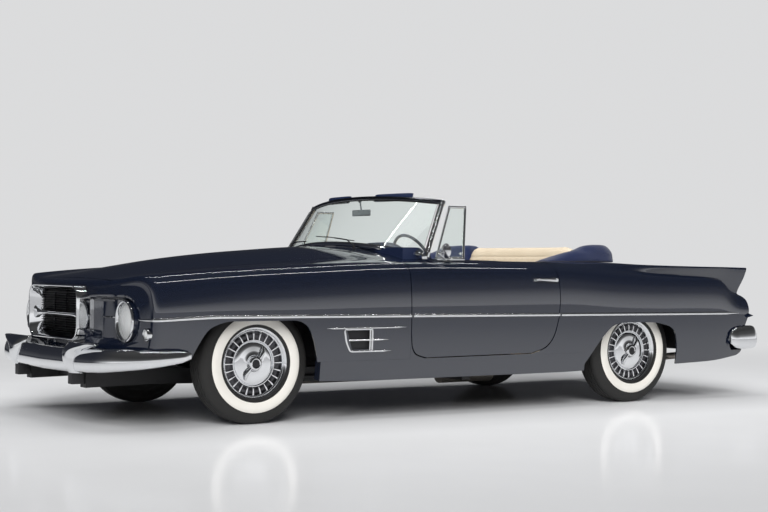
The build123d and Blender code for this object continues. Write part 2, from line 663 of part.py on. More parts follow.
def floors():
    """The floor with its tunnel, the firewall, and the raised floor behind."""
    tunnel = box(-TUNNEL_X, TUNNEL_X, FIREWALL, FLOOR_END, FLOOR_Z, PAN_Z)
    hollow = box(-TUNNEL_X + SHEET, TUNNEL_X - SHEET, 0, 3000, FLOOR_Z - 50, PAN_Z - SHEET)
    pan = box(-CABIN_X, CABIN_X, FIREWALL, FLOOR_END, FLOOR_Z, FLOOR_Z + SHEET)
    front = (pan + tunnel) - hollow
    riser = box(160, 640, 1500, 1960, FLOOR_Z + SHEET - 1, 440 - SEAT_GAP)
    riser = riser - box(190, 610, 1460, 2000, FLOOR_Z + SHEET, 410)
    front = merged([front] + both(riser))
    wall = box(-850, 850, FIREWALL - SHEET, FIREWALL, FLOOR_Z + SHEET, FIREWALL_TOP)
    wall = wall + box(-850, 850, FIREWALL - SHEET, FIREWALL + 60, FIREWALL_TOP - SHEET, FIREWALL_TOP)
    wall = wall - box(-TUNNEL_X - SEAT_GAP, TUNNEL_X + SEAT_GAP, 700, 900, FLOOR_Z, PAN_Z + SEAT_GAP)
    wall = (wall & INNER) - rod(*column_line(), COLUMN_R + SEAT_GAP)
    y, z = HOOD_HINGE
    outline = [(y - 6, z), (y + 3, z + 4), (FIREWALL, z - 44), (FIREWALL, 850), (FIREWALL - SHEET, 850), (y - 6, z - 20)]
    bracket = prism_x(outline, HINGE_X - 30, HINGE_X - 20.5)
    save("firewall", merged([wall] + both(bracket + hinge_pin(y, z))))
    heel = FLOOR_END + SEAT_GAP
    above = [(heel, FLOOR_Z), (heel, PAN_Z + SHEET), (PAN_END - SHEET, PAN_Z + SHEET), (PAN_END - SHEET, BOOT_Z + SHEET)]
    above.append((BOOT_END, BOOT_Z + SHEET))
    below = [(BOOT_END, BOOT_Z), (PAN_END, BOOT_Z), (PAN_END, PAN_Z), (heel + SHEET, PAN_Z), (heel + SHEET, FLOOR_Z)]
    rear = prism_x(above + below, -CABIN_X, CABIN_X)
    rear = rear - box(-TUNNEL_X + SHEET, TUNNEL_X - SHEET, 2200, 2300, 200, PAN_Z - SHEET)
    for side in (-1, 1):
        x0, x1 = sorted((side * (HOUSE_X - SEAT_GAP), side * 1100))
        rear = rear - box(x0, x1, 2440, 3360, 200, 700)
    bulkhead = box(-HOUSE_X, HOUSE_X, DECK_FRONT, DECK_FRONT + SHEET, BOOT_Z, 1100)
    y, z = LID_HINGE
    beam = box(-HOUSE_X, HOUSE_X, y - 6, y + 30, 800, 830)
    stays = both(box(560, 600, DECK_FRONT, y + 30, 800, 830))
    bracket = box(HINGE_X - 30, HINGE_X - 20.5, y - 6, y + 6, 820, z + 4)
    rear = merged([rear & INNER, bulkhead & INNER, beam] + stays + both(bracket + hinge_pin(y, z)))
    save("floor_pan", front, rear)


def wheelhouses():
    """The liners over the front and rear wheels."""
    # Each outline's columns: y from the front axle, z
    front = [(-540, 360), (-540, 700), (-440, 790), (420, 790), (520, 700), (520, 360)]
    rear = [(2480, 360), (2480, 640), (2600, 770), (3240, 770), (3350, 640), (3350, 360)]
    liners = []
    for outline, x, y in ((front, FRONT_HOUSE_X, 0), (rear, HOUSE_X, REAR_AXLE)):
        mid_y = (outline[0][0] + outline[-1][0]) / 2
        inside = [(v + (SHEET if v < mid_y else -SHEET), z - SHEET) for v, z in outline]
        liner = prism_x(outline, x, 960) - prism_x(inside, x + SHEET, 1000)
        notch = box(x - 10, x + 20, y - 170, y + 170, 200, 560 if y == 0 else 450)
        liners += both((liner & INNER) - notch)
    save("wheelhouses", liners)


def running_gear():
    """Engine, gearbox, shaft, axle, springs, exhaust, tank and radiator."""
    save("engine", box(-260, 260, -330, 480, 330, 800))
    gearbox = box(-120, 120, 480 + SEAT_GAP, 700, 320, 470) + box(-85, 85, 700, 1250, 310, 400)
    nose = REAR_AXLE - 150
    save("transmission", gearbox, rod((0, 1250 + SEAT_GAP, AXLE_Z), (0, nose, AXLE_Z), 34))
    end = WHEEL_X - 62 - SEAT_GAP
    axle = [
        rod((-end, REAR_AXLE, AXLE_Z), (end, REAR_AXLE, AXLE_Z), 38),
        rod((-WHEEL_X - 10, REAR_AXLE, AXLE_Z), (WHEEL_X + 10, REAR_AXLE, AXLE_Z), 18),
        Pos(0, at(REAR_AXLE), AXLE_Z) * Sphere(130),
        rod((0, nose + SEAT_GAP, AXLE_Z), (0, REAR_AXLE, AXLE_Z), 50),
    ]
    leaves = []
    for k, reach in enumerate((620, 480, 340)):
        z = 268 - 9 * k
        leaves.append(box(520, 580, REAR_AXLE - reach, REAR_AXLE + reach, z, z + 9))
    leaves.append(box(530, 570, REAR_AXLE - 60, REAR_AXLE + 60, 277, AXLE_Z - 38 - SEAT_GAP))
    save("rear_axle", merged(axle), both(merged(leaves)))
    save("radiator", box(-300, 300, -700, -640, 302 + SEAT_GAP, 780))
    save("fuel_tank", box(-260, 260, 3480 + SEAT_GAP, 3750 - SEAT_GAP, 340, 520))
    low = 223 - 25 - SEAT_GAP
    route = [(285.3, 300, 345), (300, 560, low), (300, 2500, low), (300, 2800, 235), (300, 3300, 235), (300, 4010, 268)]
    box_end = [(300, 1700, low), (300, 2120, low)]
    save("exhausts", both(pipe(route, 25) + rod(box_end[0], box_end[1], 60)))


def bumper_bar(path):
    """Half of a bar, lofted through its outline at each place of the path."""
    rings = []
    for k, (x, y, low, top, deep) in enumerate(path):
        before, after = path[max(k - 1, 0)], path[min(k + 1, len(path) - 1)]
        along = Vector(after[0] - before[0], after[1] - before[1], 0).normalized()
        if k == 0:
            along = Vector(1, 0, 0)
        inward = Vector(-along.Y, along.X, 0)
        if inward.dot(Vector(-x, WHEELBASE / 2 - y, 0)) < 0:
            inward = -inward
        points = []
        for share, height in BAR_FORM:
            points.append(Vector(x, at(y), low + (top - low) * height) + inward * (deep * share))
        rings.append(Wire.make_polygon(points, close=True))
    return Solid.make_loft(rings, ruled=True)


def overrider():
    """One of the front bumper's guards, wide at its top."""
    rings = []
    for z, x0, x1, y0, y1 in GUARD:
        plan = [(x0, y1), (x0, y0 + 16), (x0 + 16, y0), (x1 - 16, y0), (x1, y0 + 16), (x1, y1)]
        rings.append(Wire.make_polygon([Vector(x, at(y), z) for x, y in plan], close=True))
    return Solid.make_loft(rings, ruled=True)


def bumpers():
    """Front and rear bumpers."""
    iron = box(400, 460, -960, -880 - SEAT_GAP, 240, 345)
    half = merged([bumper_bar(FRONT_BAR), overrider(), iron])
    save("front_bumper", half + other(half))
    stub = box(380, 470, 4110, 4169, 380, 520)
    iron = box(410, 460, 3810 + SEAT_GAP, 4150, 400, 450)
    half = merged([bumper_bar(REAR_BAR), stub, iron])
    save("rear_bumper", half + other(half))


def interior():
    """Seats, their frames, the dashboard, side trims and the folded top's cover."""
    cushion = eased(box(-700, 700, 1480, 1985, 440, 590), 45)
    back = [(1985 + SEAT_GAP, 440), (1985 + SEAT_GAP, 600), (2040, 880), (2140, 880), (2100, 440)]
    back = eased(prism_x(back, -700, 700), 38)
    save("front_seat", cushion, back)
    seat_z = PAN_Z + SHEET + SEAT_GAP
    heel = PAN_END - SHEET - SEAT_GAP
    cushion = eased(box(-625, 625, 2270, 2560, seat_z, 590), 40)
    back = [(2560 + SEAT_GAP, seat_z), (2560 + SEAT_GAP, 600), (2590, 1060), (2690, 1060)]
    back = prism_x(back + [(heel, BOOT_Z + SHEET + SEAT_GAP), (heel, seat_z)], -625, 625)
    save("rear_seat", cushion, eased(back, 38))
    dash = [(1060, 760), (1280, 790), (1295, 860), (1280, 960), (1230, 1005), (1190, 1042), (1060, 1042)]
    panel = (INNER & prism_x(dash, -800, 800)) - rod(*column_line(), COLUMN_R + SEAT_GAP)
    save("dashboard", panel, rod(*column_line(), COLUMN_R))
    edge = COVER_X - SEAT_GAP
    wall = box(edge - SKIN, edge, DOOR_REAR + MOVE_GAP, 2440, PAN_Z + SHEET + SEAT_GAP, COVER_Z - SEAT_GAP)
    shelf = box(COVER_IN, edge, DOOR_REAR + MOVE_GAP, DECK_FRONT - SEAT_GAP, COVER_Z - SKIN, COVER_Z - SEAT_GAP)
    save("quarter_trims", both(wall + shelf))
    tail = prism_x([(2705, COVER_Z), (2708, 1056), (2742, 1064), (2775, 1010), (2800, COVER_Z)], -edge, edge)
    arm = [(2190, COVER_Z), (2290, 992), (2390, 1014), (2412, 1046), (2712, 1060), (2712, COVER_Z)]
    arm = prism_x(arm, COVER_IN, edge)
    save("folded_top_cover", merged([tail] + both(arm)))


def windscreen():
    """The frame round the curved glass, and the glass."""
    def place(p, side=1):
        return Vector(side * p[0], at(p[1]), p[2])

    def arc(end, mid):
        return ThreePointArc(place(end, -1), place(mid), place(end))

    bars = []
    for curve in (arc(FOOT, FOOT_MID), arc(HEAD, HEAD_MID)):
        bars.append(sweep(Plane(origin=curve @ 0, z_dir=curve % 0) * Circle(POST_R), path=curve))
    lean = (place(HEAD) - place(FOOT)).normalized() * POST_R
    low, top = place(FOOT) - lean, place(HEAD) + lean
    post = Plane(origin=low, z_dir=lean) * Cylinder(
        POST_R + 2, (top - low).length, align=(Align.CENTER, Align.CENTER, Align.MIN)
    )
    foot_pad = box(850, POST_X1, COWL_REAR - 40, COWL_REAR, DOOR_TOP + 6, FOOT[2])
    save("windscreen_frame", merged(bars + both(post) + both(foot_pad)))

    def strip(share, end_in):
        outer = [Vector(*[a + (b - a) * share for a, b in zip(low, top)]) for low, top in
                 ((FOOT, HEAD), (FOOT_MID, HEAD_MID))]
        end = (outer[0].X - end_in, outer[0].Y, outer[0].Z)
        mid = (0, outer[1].Y, outer[1].Z)
        along = Vector(0, mid[1] - end[1], mid[2] - end[2]).normalized() * GLASS_T
        front = arc(end, mid)
        back = front.moved(Location(-along))
        return Wire([front, Line(front @ 1, back @ 1), back, Line(back @ 0, front @ 0)])

    share = (POST_R + 1) / (place(HEAD_MID) - place(FOOT_MID)).length
    save("windscreen_glass", Solid.make_loft([strip(share, POST_R + 5), strip(1 - share, POST_R + 5)], ruled=True))


def strip_x(y0, y1):
    """A length of the chrome strip on the body's side."""
    z0, z1 = [TRIM_Z - TRIM_DROP * (y - DOOR_FRONT) / 2800 for y in (y0, y1)]
    half = TRIM_H / 2
    outline = [(y0, z0 - half), (y1, z1 - half), (y1, z1 + half), (y0, z0 + half)]
    return (TRIM_FACE - TRIM_SEAT) & prism_x(outline, 700, 1100)


def side_strips():
    """The chrome strip along the fender and the quarter, with the fender's vent frame."""
    frame = prism_x(VENT_FRAME, 700, 1100) - prism_x(VENT_SLOT, 700, 1100)
    for y0, y1, z in VENT_BARS:
        frame = frame + prism_x([(y0, z - 5), (y1, z - 5), (y1, z + 5), (y0, z + 5)], 700, 1100)
    frame = frame & (TRIM_FACE - TRIM_SEAT)
    save("side_trims", both(strip_x(-660, DOOR_FRONT - SEAM)), both(strip_x(DOOR_REAR + SEAM, 3850)), both(frame))


def door_mirror():
    """The round mirror on the left door's top, on its bent arm."""
    x, y, z = MIRROR_FOOT
    foot = box(x - 14, x + 14, y - 26, y + 26, z - 40, z + 8) - TRIM_SEAT
    arm = pipe([(x, y, z + 6), MIRROR_ELBOW, MIRROR_HEAD], 6)
    head = [(-16, 0), (-12, 26), (4, 46), (10, 48), (14, 44), (12, 0)]
    return merged([foot, arm, turned_y(head, *MIRROR_HEAD)])


def door_fittings():
    """On each door: its strip, pull handle, and the quarter light's frame and glass."""
    band = strip_x(DOOR_FRONT + 9, DOOR_REAR - 5)
    handle = rod((1004, 1960, 838), (1004, 2140, 838), 8)
    for y in (1972, 2128):
        handle = handle + rod((983, y, 838), (1004, y, 838), 9)
    handle = handle - OUTER
    bars = [rod(a, b, 8) for a, b in zip(VENT_WINDOW, VENT_WINDOW[1:] + VENT_WINDOW[:1])]
    corners = [Pos(x, at(y), z) * Sphere(8) for x, y, z in VENT_WINDOW]
    foot = box(846, 886, 1262, 1478, DOOR_TOP + SEAT_GAP, DOOR_TOP + 16)
    shared = merged(bars + corners + [foot]).solids() + (band + handle).solids()
    save("door_chrome_left", shared, door_mirror())
    save("door_chrome_right", other(Compound(shared)))
    points = [Vector(x, at(y), z) for x, y, z in VENT_WINDOW]
    pane = extrude(Face(Wire([Line(a, b) for a, b in zip(points, points[1:] + points[:1])])), amount=4)
    for a, b in zip(VENT_WINDOW, VENT_WINDOW[1:] + VENT_WINDOW[:1]):
        pane = pane - rod(a, b, 8 + SEAT_GAP)
    save_pair("quarter_light", max(pane.solids(), key=lambda piece: piece.volume))


def mirror_and_visors():
    """The inner mirror on the screen's header and the two sun visors."""
    stem = rod((0, 1261, 1352.4), (0, 1268, 1292), 4) + Pos(0, at(1261), 1352.4) * Sphere(4)
    glass = box(-110, 110, 1260, 1276, 1250, 1294)
    reach = []
    for x in VISOR_X:
        reach.append((x, HEAD_MID[1] + (HEAD[1] - HEAD_MID[1]) * (x / HEAD[0]) ** 2 + POST_R + SEAT_GAP))
    near, far = reach
    visors = both(prism_z([near, far, (far[0], far[1] + VISOR_T), (near[0], near[1] + VISOR_T)], *VISOR_Z))
    save("inner_mirror", stem + glass)
    save("sun_visors", visors)


def steering_wheel():
    """Steering wheel with its spokes and hub."""
    x, y, z = WHEEL_AT
    spin = Pos(x, at(y), z) * Rot(-(90 - COLUMN_TILT), 0, 0)
    pieces = [spin * Torus(STEER_R, 10), spin * Cylinder(35, 30)]
    pieces += [spin * Rot(0, 0, a) * Pos(STEER_R / 2, 0, 0) * Box(STEER_R - 20, 18, 8) for a in (0, 180, 270)]
    save("steering_wheel", merged(pieces))


for make in (
    front_fenders, nose_panel, grille, lamps, cowl, door_posts, rockers, quarters, bonnet, rear_body, doors,
    side_strips, door_fittings, wheels, knuckles, front_suspension, chassis, floors, wheelhouses, running_gear, bumpers,
    interior, windscreen, mirror_and_visors, steering_wheel,
):
    make()
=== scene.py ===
"""A 1950s two-door convertible car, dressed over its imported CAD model.

Lengths in the tables are millimetres, with places along the car measured from the front axle.
Everything that is built is in metres in the car's own frame: nose to -Y, the car's left to +X.
"""

import math

import bmesh
import bpy
from mathutils import Matrix, Vector, noise


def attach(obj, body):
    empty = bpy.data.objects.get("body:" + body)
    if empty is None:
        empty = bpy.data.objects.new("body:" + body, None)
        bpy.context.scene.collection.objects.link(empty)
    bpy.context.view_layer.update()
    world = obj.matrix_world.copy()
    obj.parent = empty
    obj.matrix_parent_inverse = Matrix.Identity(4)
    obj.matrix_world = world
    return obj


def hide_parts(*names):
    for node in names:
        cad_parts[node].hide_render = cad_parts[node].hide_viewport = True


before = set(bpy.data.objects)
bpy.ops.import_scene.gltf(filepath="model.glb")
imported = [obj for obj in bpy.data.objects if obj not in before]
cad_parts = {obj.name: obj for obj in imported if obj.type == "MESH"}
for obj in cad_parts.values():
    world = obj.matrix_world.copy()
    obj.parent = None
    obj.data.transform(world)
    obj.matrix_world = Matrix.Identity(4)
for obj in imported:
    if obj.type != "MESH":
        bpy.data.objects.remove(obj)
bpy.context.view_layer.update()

bl_info = {
    "name": "Fifties convertible",
    "version": (1, 0, 0),
    "blender": (4, 5, 0),
    "location": "View3D > Sidebar > Convertible",
    "description": "Body, brightwork, wheels and cabin of a 1950s two-door convertible",
    "category": "Add Mesh",
}

MM = 0.001
MERGE = 2e-4
OUT = Vector((1, 0, 0))
BACK = Vector((0, 1, 0))
UP = Vector((0, 0, 1))
FRONT_AXLE = -1584.5
WHEELBASE = 2921
WHEEL_X = 776
WHEEL_R = 352


def at(x, y, z):
    """A point in metres from millimetres, its y given from the front axle."""
    return Vector((x * MM, (FRONT_AXLE + y) * MM, z * MM))


# Body sections from the nose to the tail. Columns: y, then x and z of the sill, side, shoulder,
# crease, top edge, inner edge and valley, then the centre's z
SECTIONS = [
    (-900, 872, 318, 930, 620, 908, 728, 886, 768, 842, 794, 790, 800, 600, 786, 792),
    (-800, 890, 318, 950, 620, 932, 760, 908, 808, 862, 838, 802, 844, 605, 824, 834),
    (-600, 915, 318, 968, 620, 952, 782, 925, 833, 872, 864, 812, 870, 615, 856, 882),
    (-140, 950, 300, 986, 620, 972, 815, 946, 868, 886, 899, 822, 903, 635, 901, 965),
    (300, 962, 245, 992, 620, 978, 835, 952, 890, 892, 921, 828, 926, 655, 938, 1010),
    (900, 966, 235, 993, 620, 980, 850, 954, 912, 894, 946, 828, 953, 690, 982, 1046),
    (1250, 966, 235, 993, 620, 980, 855, 955, 918, 895, 952, 828, 958, 720, 985, 1050),
    (2200, 966, 235, 993, 615, 981, 858, 955, 916, 896, 951, 832, 954, 770, 945, 950),
    (2600, 966, 245, 993, 612, 978, 853, 938, 906, 912, 949, 856, 955, 790, 942, 948),
    (3000, 962, 252, 990, 608, 973, 846, 926, 880, 928, 935, 884, 941, 800, 926, 938),
    (3300, 955, 259, 984, 606, 967, 840, 921, 867, 937, 930, 900, 935, 804, 912, 927),
    (3600, 946, 268, 974, 604, 957, 832, 914, 853, 943, 927, 908, 931, 806, 896, 914),
    (3740, 938, 282, 966, 603, 947, 810, 908, 834, 945, 926, 912, 930, 808, 886, 905),
    (3830, 932, 295, 960, 602, 937, 716, 902, 742, 945, 925, 913, 929, 809, 880, 899),
    (4020, 918, 320, 950, 600, 926, 694, 896, 720, 945, 922, 914, 926, 810, 866, 888),
]
# Steps and outward bulge of each span of a section
SPANS = [(10, 9, 0), (8, 6, 0), (6, 5, 3), (5, 6, 4), (4, 0, 2), (6, 0, 0), (12, 0, 0)]
CREASE_FROM = 2350
CREASE_FULL = 2900

NOSE = -858
NOSE_R = 2530
NOSE_Z = 560
NOSE_ROUND = 42
NOSE_STEPS = 6
RECESS_X = 560
RECESS_WIDE = 270
RECESS_Z = 606
RECESS_HIGH = 134
RECESS_ROUND = 128
RECESS_LIP = 22
RECESS_DEEP = 30
FENDER_X = 560
HOOD_FRONT = -775
HOOD_REAR = 850
HOOD_X = (575, 672)
HOOD_Z = 752
COWL_X = 760
COWL_REAR = 1190
DOOR_FRONT = 1003
DOOR_REAR = 2171
DOOR_LOW = 363
DOOR_TOP_X = 806
POST_X = 886
COVER_X = 850
DECK_FRONT = 2700
LID_FRONT = 2960
LID_X = 745
LIP_Z = 640
SEAM = 6
SKIN = 10
ROCKER_FRONT = 366
ROCKER_REAR = 2400

TAIL = [
    (3976, 975), (3958, 923), (3935, 846), (3893, 742), (3922, 722), (3960, 686), (3970, 626), (3962, 582),
    (3931, 517), (3912, 440), (3912, 335), (3850, 296), (3700, 262), (3650, 200),
]
TAIL_NOTCH = [(4100, 517), (3931, 517), (3843, 504), (3790, 458), (3777, 363), (3800, 338), (4100, 338)]
FRONT_ARCH = [
    (-490, 200), (-470, 345), (-420, 470), (-345, 568), (-215, 603), (180, 603), (262, 574), (318, 470),
    (345, 345), (362, 200),
]
REAR_ARCH = [
    (2335, 200), (2445, 338), (2560, 472), (2650, 536), (2760, 552), (2980, 549), (3150, 520), (3215, 470),
    (3238, 350), (3238, 200),
]
VENT_POST = 700
VENT = [(540, 536), (710, 536), (710, 424), (576, 424)]

HEADLAMP = (704, -745, 601)
HEADLAMP_R = 112
LAMP_Y = -690
LAMP_WALL = -738
PARKING = (893, -690, 533)
PARKING_R = 36
TAIL_LAMP = (880, 3925, 655)
GRILLE_X = 385
GRILLE_LOW = 479
GRILLE_TOP = 800
GRILLE_ROUND = 78
GRILLE_BAR_Z = 627


def user_size(name):
    """One of the sizes that can be changed, in millimetres."""
    return round(getattr(bpy.context.scene.convertible_sizes, name) / MM, 3)


# Working with node materials


class Wire:
    """A node's output that takes arithmetic."""

    def __init__(self, maker, value):
        self.maker = maker
        self.value = value

    def _math(self, operation, other):
        return self.maker.node("ShaderNodeMath", {"operation": operation}, {0: self, 1: other})

    def __add__(self, other):
        return self._math("ADD", other)

    __radd__ = __add__

    def __mul__(self, other):
        return self._math("MULTIPLY", other)

    __rmul__ = __mul__

    def most(self, other):
        """The greater of two values."""
        return self._math("MAXIMUM", other)


class Nodes:
    """A node tree whose nodes are made by one method."""

    def __init__(self, tree):
        self.tree = tree

    def node(self, kind, settings, inputs, output=0):
        """A node with its settings, then its sockets' values or links; returns one output."""
        fresh = self.tree.nodes.new(kind)
        for key, value in settings.items():
            if key == "stops":
                ramp = fresh.color_ramp
                while len(ramp.elements) < len(value):
                    ramp.elements.new(0.5)
                for element, (place, colour) in zip(ramp.elements, value):
                    element.position = place
                    element.color = colour
            else:
                setattr(fresh, key, value)
        for socket, value in inputs.items():
            self.feed(fresh.inputs[socket], value)
        return Wire(self, fresh.outputs[output])

    def feed(self, socket, value):
        """Set or link one socket."""
        if isinstance(value, Wire):
            self.tree.links.new(value.value, socket)
        else:
            socket.default_value = value

    def tint(self, amount, dark, light):
        """A colour between two, by an amount."""
        return self.node("ShaderNodeMix", {"data_type": "RGBA"}, {0: amount, 6: dark, 7: light}, 2)

    def ray(self, kind):
        """One for a ray of a kind, and nought for others."""
        return self.node("ShaderNodeLightPath", {}, {}, f"Is {kind} Ray")

    def passed(self, value, start, end, most=1.0):
        """A smooth rise from nought to its most while a value goes from a start to an end."""
        return self.node(
            "ShaderNodeMapRange",
            {"interpolation_type": "SMOOTHSTEP"},
            {"Value": value, "From Min": start, "From Max": end, "To Max": most},
        )

    def mixed(self, amount, first, second):
        """One shader turning into another, by an amount."""
        return self.node("ShaderNodeMixShader", {}, {0: amount, 1: first, 2: second})


class Finish(Nodes):
    """A material with its shader."""

    def __init__(self, name):
        self.material = bpy.data.materials.new(name)
        self.material.use_nodes = True
        super().__init__(self.material.node_tree)
        self.shader = self.tree.nodes["Principled BSDF"]
        self.out = self.tree.nodes["Material Output"]

    def set(self, **values):
        """Set the shader's own sockets, by names with _ for a space."""
        for key, value in values.items():
            self.feed(self.shader.inputs[key.replace("_", " ")], value)

    def place(self):
        """Where a point is on its piece, in metres."""
        return self.node("ShaderNodeTexCoord", {}, {}, "Object")

    def waves(self, axis, scale, **others):
        """Bands across an axis, from 0 to 1."""
        settings = {"wave_type": "BANDS", "bands_direction": axis}
        inputs = {"Vector": self.place(), "Scale": scale, **others}
        return self.node("ShaderNodeTexWave", settings, inputs, "Fac")

    def pattern(self, kind, scale, detail=0.0):
        """One of the patterns that the finishes are made of, from 0 to 1."""
        if kind == "noise":
            inputs = {"Vector": self.place(), "Scale": scale, "Detail": detail}
            return self.node("ShaderNodeTexNoise", {}, inputs, "Fac")
        if kind == "cells":
            inputs = {"Vector": self.place(), "Scale": scale}
            return self.node("ShaderNodeTexVoronoi", {"feature": "DISTANCE_TO_EDGE"}, inputs, "Distance")
        if kind == "weave":
            threads = [self.waves(axis, scale, Distortion=0.6, Detail=1.0) for axis in "XY"]
            return threads[0] * threads[1]
        return self.waves(kind, scale)

    def bump(self, height, distance, strength):
        """A normal from a height."""
        inputs = {"Height": height, "Distance": distance, "Strength": strength}
        return self.node("ShaderNodeBump", {}, inputs)


def shade(r, g, b):
    """A colour with full alpha."""
    return (r, g, b, 1.0)


LACQUER = {"Specular_IOR_Level": 0.04, "Coat_Weight": 1.0, "Coat_Roughness": 0.02, "Coat_IOR": 2.0}
PLATED = {"Metallic": 1.0}
POLISHED = {"Coat_Weight": 1.0, "Coat_Roughness": 0.02}
GLAZED = {"Transmission_Weight": 1.0, "IOR": 1.45}
# Columns: the material's name, the pattern of its tint, its darkest and lightest colour, its roughness
# and how much the tint's pattern adds to it, its relief's pattern, depth and strength, its other sockets
LOOKS = {
    "body_paint": ("navy lacquer", ("noise", 900, 2), (0.003, 0.005, 0.012), (0.007, 0.011, 0.025),
                   0.34, 0.06, (("noise", 7, 2), 0.0004, 0.08), LACQUER),
    "chrome": ("bright plating", ("noise", 35, 3), (0.84, 0.85, 0.87), (0.90, 0.91, 0.92), 0.035, 0.05,
               None, PLATED),
    "trim_plating": ("trim plating", ("noise", 35, 3), (0.84, 0.85, 0.86), (0.90, 0.91, 0.92), 0.20, 0.05,
                     None, PLATED),
    # A darker copy of the bright plating: painted shade on the grille's bars and in the wheels' slots.
    "shade_darkened_plating": ("grille plating", ("noise", 60, 3), (0.06, 0.06, 0.065), (0.13, 0.13, 0.14), 0.25, 0.1,
                    None, PLATED),
    # A darker copy of the bright plating for the windscreen's header: painted shade where it faces the dark
    # above.
    "shaded_header_plating": ("header plating", ("noise", 40, 3), (0.16, 0.17, 0.19), (0.26, 0.27, 0.29), 0.12, 0.08,
                       None, PLATED),
    "satin_black": ("satin black enamel", ("noise", 18, 5), (0.008, 0.008, 0.009), (0.022, 0.022, 0.024),
                    0.42, 0.25, (("noise", 140, 4), 0.0008, 0.4), {}),
    "cast_iron": ("painted casting", ("noise", 9, 5), (0.03, 0.03, 0.032), (0.08, 0.08, 0.082), 0.5, 0.2,
                  (("noise", 220, 6), 0.0012, 0.6), {"Metallic": 0.4}),
    "exhaust_steel": ("dull steel tube", ("noise", 4, 4), (0.20, 0.18, 0.16), (0.36, 0.33, 0.30), 0.38, 0.2,
                      None, {"Metallic": 0.9}),
    "tyre_rubber": ("tyre rubber", ("noise", 40, 4), (0.012, 0.012, 0.012), (0.028, 0.027, 0.026), 0.55, 0.2,
                    (("noise", 500, 3), 0.0005, 0.5), {}),
    "white_rubber": ("white sidewall", ("noise", 14, 4), (0.74, 0.71, 0.65), (0.80, 0.78, 0.73), 0.5, 0.15,
                     (("noise", 300, 3), 0.0004, 0.4), {}),
    "cream_leather": ("cream hide", ("noise", 5, 4), (0.66, 0.55, 0.40), (0.76, 0.66, 0.51), 0.42, 0.14,
                      (("cells", 420), 0.0016, 0.35), {}),
    "navy_cloth": ("navy hood cloth", ("noise", 6, 5), (0.006, 0.011, 0.042), (0.016, 0.028, 0.088),
                   0.78, 0.12, (("weave", 260), 0.001, 0.5), {"Sheen_Weight": 0.25}),
    "navy_hide": ("navy trim hide", ("noise", 6, 3), (0.008, 0.014, 0.042), (0.016, 0.026, 0.068), 0.40, 0.1,
                  (("cells", 380), 0.0014, 0.35), {}),
    "carpet": ("navy carpet", ("noise", 650, 3), (0.006, 0.009, 0.022), (0.02, 0.028, 0.06), 0.95, 0.0,
               (("noise", 650, 3), 0.003, 0.8), {}),
    "clear_glass": ("clear glass", ("noise", 3, 1), (0.90, 0.97, 0.94), (0.93, 0.98, 0.96), 0.0, 0.0,
                    None, GLAZED),
    "lamp_glass": ("fluted lamp glass", ("X", 45), (0.78, 0.80, 0.81), (0.92, 0.93, 0.93), 0.05, 0.0,
                   (("X", 45), 0.002, 0.5), POLISHED),
    "lamp_bowl": ("silvered bowl", ("noise", 30, 2), (0.84, 0.85, 0.84), (0.90, 0.91, 0.90), 0.28, 0.1,
                  None, {"Metallic": 0.1}),
    "red_lens": ("red lens", ("Z", 70), (0.26, 0.004, 0.003), (0.50, 0.012, 0.008), 0.12, 0.0,
                 (("Z", 70), 0.001, 0.5), POLISHED),
    "wheel_moulding": ("steering wheel moulding", ("noise", 12, 3), (0.010, 0.014, 0.03), (0.02, 0.026, 0.05),
                       0.18, 0.08, None, {"Coat_Weight": 0.6, "Coat_Roughness": 0.05}),
    "dial": ("instrument face", ("noise", 80, 2), (0.5, 0.5, 0.48), (0.6, 0.6, 0.58), 0.35, 0.0, None, {}),
    "rubber_seal": ("black rubber seal", ("noise", 90, 3), (0.008, 0.008, 0.008), (0.018, 0.018, 0.018),
                    0.6, 0.15, None, {}),
}
# Finishes whose lightest colour is one of the car's settings
CHOSEN = {
    "body_paint": "paint", "cream_leather": "hide", "navy_hide": "trim", "navy_cloth": "cover",
    "white_rubber": "sidewall",
}
CLOTH_THREADS = 0.4
LAMP_ALPHA = (0.42, 0.2)
FINISHES = {}


def finish(name):
    """One of the car's finishes, made the first time it is asked for."""
    if name in FINISHES:
        return FINISHES[name]
    title, shape, dark, light, rough, spread, relief, others = LOOKS[name]
    if name in CHOSEN:
        chosen = getattr(bpy.context.scene.convertible_colours, CHOSEN[name])
        dark = [deep * new / usual for deep, new, usual in zip(dark, chosen, light)]
        light = chosen
    f = Finish(title)
    tone = f.pattern(*shape)
    grain = tone
    if relief:
        height = tone if relief[0] == shape else f.pattern(*relief[0])
        f.set(Normal=f.bump(height, *relief[1:]))
        if name == "cast_iron":
            grain = height
        if name == "navy_cloth":
            tone = tone * (1 - CLOTH_THREADS) + height * CLOTH_THREADS
        if name == "lamp_glass":
            f.set(Alpha=LAMP_ALPHA[0] + height * LAMP_ALPHA[1])
    if name == "exhaust_steel":
        grain = f.pattern("noise", 60, 4)
    f.set(
        Base_Color=f.tint(tone, shade(*dark), shade(*light)),
        Roughness=rough + grain * spread if spread else rough,
        **others,
    )
    FINISHES[name] = f.material
    return f.material


# Building meshes


def line_of(bm, points, closed=False):
    """A row of vertices joined by edges; returns the edges."""
    verts = [bm.verts.new(p) for p in points]
    pairs = list(zip(verts, verts[1:]))
    if closed:
        pairs.append((verts[-1], verts[0]))
    return [bm.edges.new(pair) for pair in pairs]


def bridge_rows(bm, rows, closed=False):
    """A surface through rows of points, each as long as the last."""
    lines = [line_of(bm, row, closed) for row in rows]
    for first, second in zip(lines, lines[1:]):
        bmesh.ops.bridge_loops(bm, edges=first + second)


def closed_tube(rows):
    """A ring of closed rows of points, the last joined to the first."""
    bm = bmesh.new()
    bridge_rows(bm, rows + [rows[0]], True)
    bmesh.ops.remove_doubles(bm, verts=bm.verts, dist=1e-6)
    bmesh.ops.recalc_face_normals(bm, faces=bm.faces)
    return bm


def everything(bm):
    """All of a mesh's parts in one list."""
    return [*bm.verts, *bm.edges, *bm.faces]


